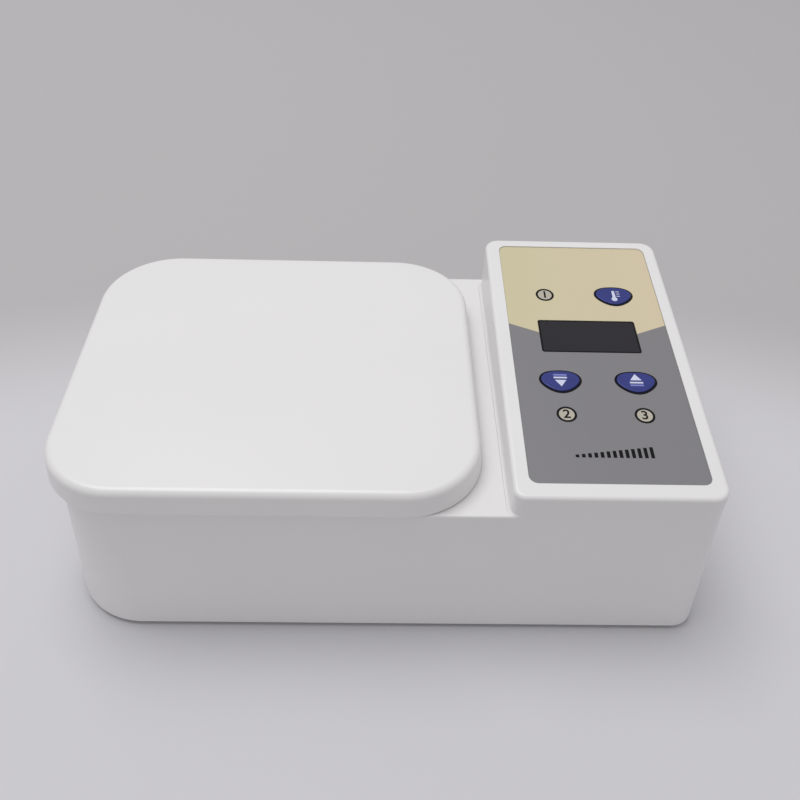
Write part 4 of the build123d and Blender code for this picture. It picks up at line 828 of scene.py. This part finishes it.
# Display window: a smoked acrylic pane, laser cut, set from below so that it lies level with
# the film. It is almost black, with a darker painted border and a faint violet cast.
window_smoke = finish("acrylic smoked", ("#2b2a2c", "#29272d"), (0.1, 0.14), mottle=25,
                      grain=4.0, relief=0.002, values={"IOR": 1.49, "Specular IOR Level": 0.25})
window_left, window_right, window_front, window_rear = reach_on_film("display_window", lowest=-0.2)
border_width = 0.6
inside = None
for direction, across, along in (
    (film_across, window_left + border_width, 0),
    (-film_across, window_right - border_width, 0),
    (film_up, 0, window_front + border_width),
    (-film_up, 0, window_rear - border_width),
):
    side = past(window_smoke, direction, on_film(across, along).translation, soft=0.2)
    inside = side if inside is None else combine(window_smoke, "MULTIPLY", inside, side)
border = combine(window_smoke, "SUBTRACT", 1.0, inside)
paint_over(window_smoke, border, "#050506")
coat(window_smoke, "display_window")


# Keys: three shield-shaped caps of dyed blue plastic that come up through the film, each on a
# flange that stops it under the panel. The face is smooth with a soft sheen.
key_blue = finish("polycarbonate key blue", ("#1f2a73", "#232f80"), (0.34, 0.42),
                  mottle=6, grain=0.7, relief=0.006)
coat(key_blue, "key_down", "key_up", "key_unit")


# Key prints: pale arrows with bars on the down and up keys, and a small thermometer on the
# key that changes the unit, pad printed on the caps.
ink_light = finish("ink pale blue printed", ("#d5d9ee", "#cbd0e8"), (0.4, 0.5),
                   mottle=2, grain=0.3, relief=0.002)
ink_faint = finish("ink faint blue printed", ("#8187cc", "#7a80c4"), (0.4, 0.5),
                   mottle=2, grain=0.3, relief=0.002)
key_top = 0.3
arrow_half = 2.05
arrow_height = 3.1
bar_half = 2.4
bar_height = 0.75
near_bar = 1.15
far_bar = 2.45


def key_print(name, key, outlines, ink):
    """A print on a key's cap, drawn in millimetres from the cap's middle."""
    place = on_film(*key_middles[key], key_top - print_sink)
    outlined(name, outlines, print_thickness, place, ink, f"key_{key}")


for key, way, base in (("down", -1, 0.35), ("up", 1, 0.8)):
    tip = base + way * arrow_height
    key_print(f"arrow_{key}", key, [[(-arrow_half, base), (arrow_half, base), (0, tip)]], ink_light)
    near = base - way * near_bar
    distant = base - way * far_bar
    for ink, middle, label in ((ink_light, near, "near"), (ink_faint, distant, "far")):
        outline = box_points(-bar_half, bar_half, middle - bar_height / 2, middle + bar_height / 2)
        key_print(f"arrow_bar_{key}_{label}", key, [outline], ink)

bulb_radius = 1.15
stem_half = 0.55
stem_top = 2.3
bulb_low = -2.0
bulb_gap = math.degrees(math.asin(stem_half / bulb_radius))
thermometer = ring_points(bulb_radius, (0, bulb_low), 90 + bulb_gap, 450 - bulb_gap, count=48)
thermometer += ring_points(stem_half, (0, stem_top), 0, 180, count=16)
key_print("thermometer", "unit", [thermometer], ink_light)
tick_count = 3
tick_pitch = 1.3
tick_half = 0.2
tick_left = 1.1
tick_right = 2.4
for tick in range(tick_count):
    along = stem_top - tick * tick_pitch
    outline = box_points(tick_left, tick_right, along - tick_half, along + tick_half)
    key_print(f"thermometer_tick_{tick}", "unit", [outline], ink_light)


# Base screws: six pan-head screws, sunk in the base plate, that close it on the shell's bosses
# and are driven last. They are the same plated steel as the rest.
coat(zinc_steel, "base_screws")


# Studio: a pale paper floor, an even grey-white surround, one broad soft lamp above, behind and
# to the left, and the camera where the photograph was taken from. The paper carries painted light:
# it is painted darker away from the melter, which leaves a painted pool of light round it, and far
# out it is painted lighter, near the surround's tone, so that the horizon is faint.
oval_forward = 0.05
oval_squeeze = 0.45
painted_shade_start = 0.1
painted_shade_end = 0.2
painted_far_light_start = 0.7
painted_far_light_end = 1.8


def beyond(material, near, distant):
    """A mask that grows from 0 to 1 between two rings, long ovals with these depths in metres."""
    tree = material.node_tree
    oval = add_node(tree, "ShaderNodeMapping", {
        "Vector": tree.nodes["place"].outputs["Object"],
        "Location": (0, oval_forward, 0),
        "Scale": (oval_squeeze, 1, 1),
    })
    away = add_node(tree, "ShaderNodeVectorMath", {0: oval.outputs[0]}, operation="LENGTH")
    mask = add_node(tree, "ShaderNodeMapRange",
                    {"Value": away.outputs["Value"], "From Min": near, "From Max": distant},
                    interpolation_type="SMOOTHSTEP")
    return mask.outputs[0]


paper = finish("paper matt grey", ("#d3d2d5", "#d0cfd2"), (0.9, 0.95), mottle=400, grain=3.0, relief=0.01)
# Painted pool of light: the paper is painted darker beyond an oval round the melter.
paint_over(paper, beyond(paper, painted_shade_start, painted_shade_end), "#b7b5b6")
# Painted light far out: the paper is painted lighter, near the surround's tone, so that the horizon is
# faint.
paint_over(paper, beyond(paper, painted_far_light_start, painted_far_light_end), "#f3f2f7")
floor_half = 4.0
floor_mesh = bpy.data.meshes.new("floor")
floor_mesh.from_pydata([(-floor_half, -floor_half, 0), (floor_half, -floor_half, 0),
                        (floor_half, floor_half, 0), (-floor_half, floor_half, 0)], [], [(0, 1, 2, 3)])
floor_mesh.materials.append(paper)
floor = bpy.data.objects.new("floor", floor_mesh)
bpy.context.scene.collection.objects.link(floor)

world = bpy.data.worlds.new("studio")
bpy.context.scene.world = world
world.use_nodes = True
sky = world.node_tree
sky.nodes.clear()
light = add_node(sky, "ShaderNodeBackground", {"Color": linear("#f3f2f4"), "Strength": 0.57})
seen = add_node(sky, "ShaderNodeBackground", {"Color": linear("#c4c3c9"), "Strength": 1.0})
ray = add_node(sky, "ShaderNodeLightPath")
direct = add_node(sky, "ShaderNodeMath",
                  {0: ray.outputs["Is Camera Ray"], 1: ray.outputs["Is Glossy Ray"]},
                  operation="MAXIMUM")
shown = add_node(sky, "ShaderNodeMath",
                 {0: direct.outputs[0], 1: ray.outputs["Is Transmission Ray"]}, operation="MAXIMUM")
either = add_node(sky, "ShaderNodeMixShader",
                  {0: shown.outputs[0], 1: light.outputs[0], 2: seen.outputs[0]})
add_node(sky, "ShaderNodeOutputWorld", {"Surface": either.outputs[0]})

softbox = bpy.data.lights.new("softbox", "AREA")
softbox.size = 1.3
softbox.energy = 19.6
softbox_object = bpy.data.objects.new("softbox", softbox)
softbox_object.location = (-0.4, 0.35, 1.92)
softbox_object.rotation_mode = "QUATERNION"
softbox_object.rotation_quaternion = (-softbox_object.location).to_track_quat("-Z", "Y")
bpy.context.scene.collection.objects.link(softbox_object)

camera_place = Vector((-0.003945, -0.2493, 0.27951))
camera_yaw = math.radians(2.13)
camera_pitch = math.radians(-42.9)
camera_roll = math.radians(2.32)
ahead = Vector((math.sin(camera_yaw) * math.cos(camera_pitch),
                math.cos(camera_yaw) * math.cos(camera_pitch),
                math.sin(camera_pitch)))
level_right = Vector((math.cos(camera_yaw), -math.sin(camera_yaw), 0))
level_up = level_right.cross(ahead)
right = level_right * math.cos(camera_roll) + level_up * math.sin(camera_roll)
upward = level_up * math.cos(camera_roll) - level_right * math.sin(camera_roll)
camera = bpy.data.cameras.new("camera")
camera.lens = 39.81
camera.sensor_width = 36
camera_object = bpy.data.objects.new("camera", camera)
camera_object.matrix_world = (Matrix.Translation(camera_place)
                              @ Matrix((right, upward, -ahead)).transposed().to_4x4())
bpy.context.scene.collection.objects.link(camera_object)
bpy.context.scene.camera = camera_object
bpy.context.scene.view_settings.view_transform = "Standard"
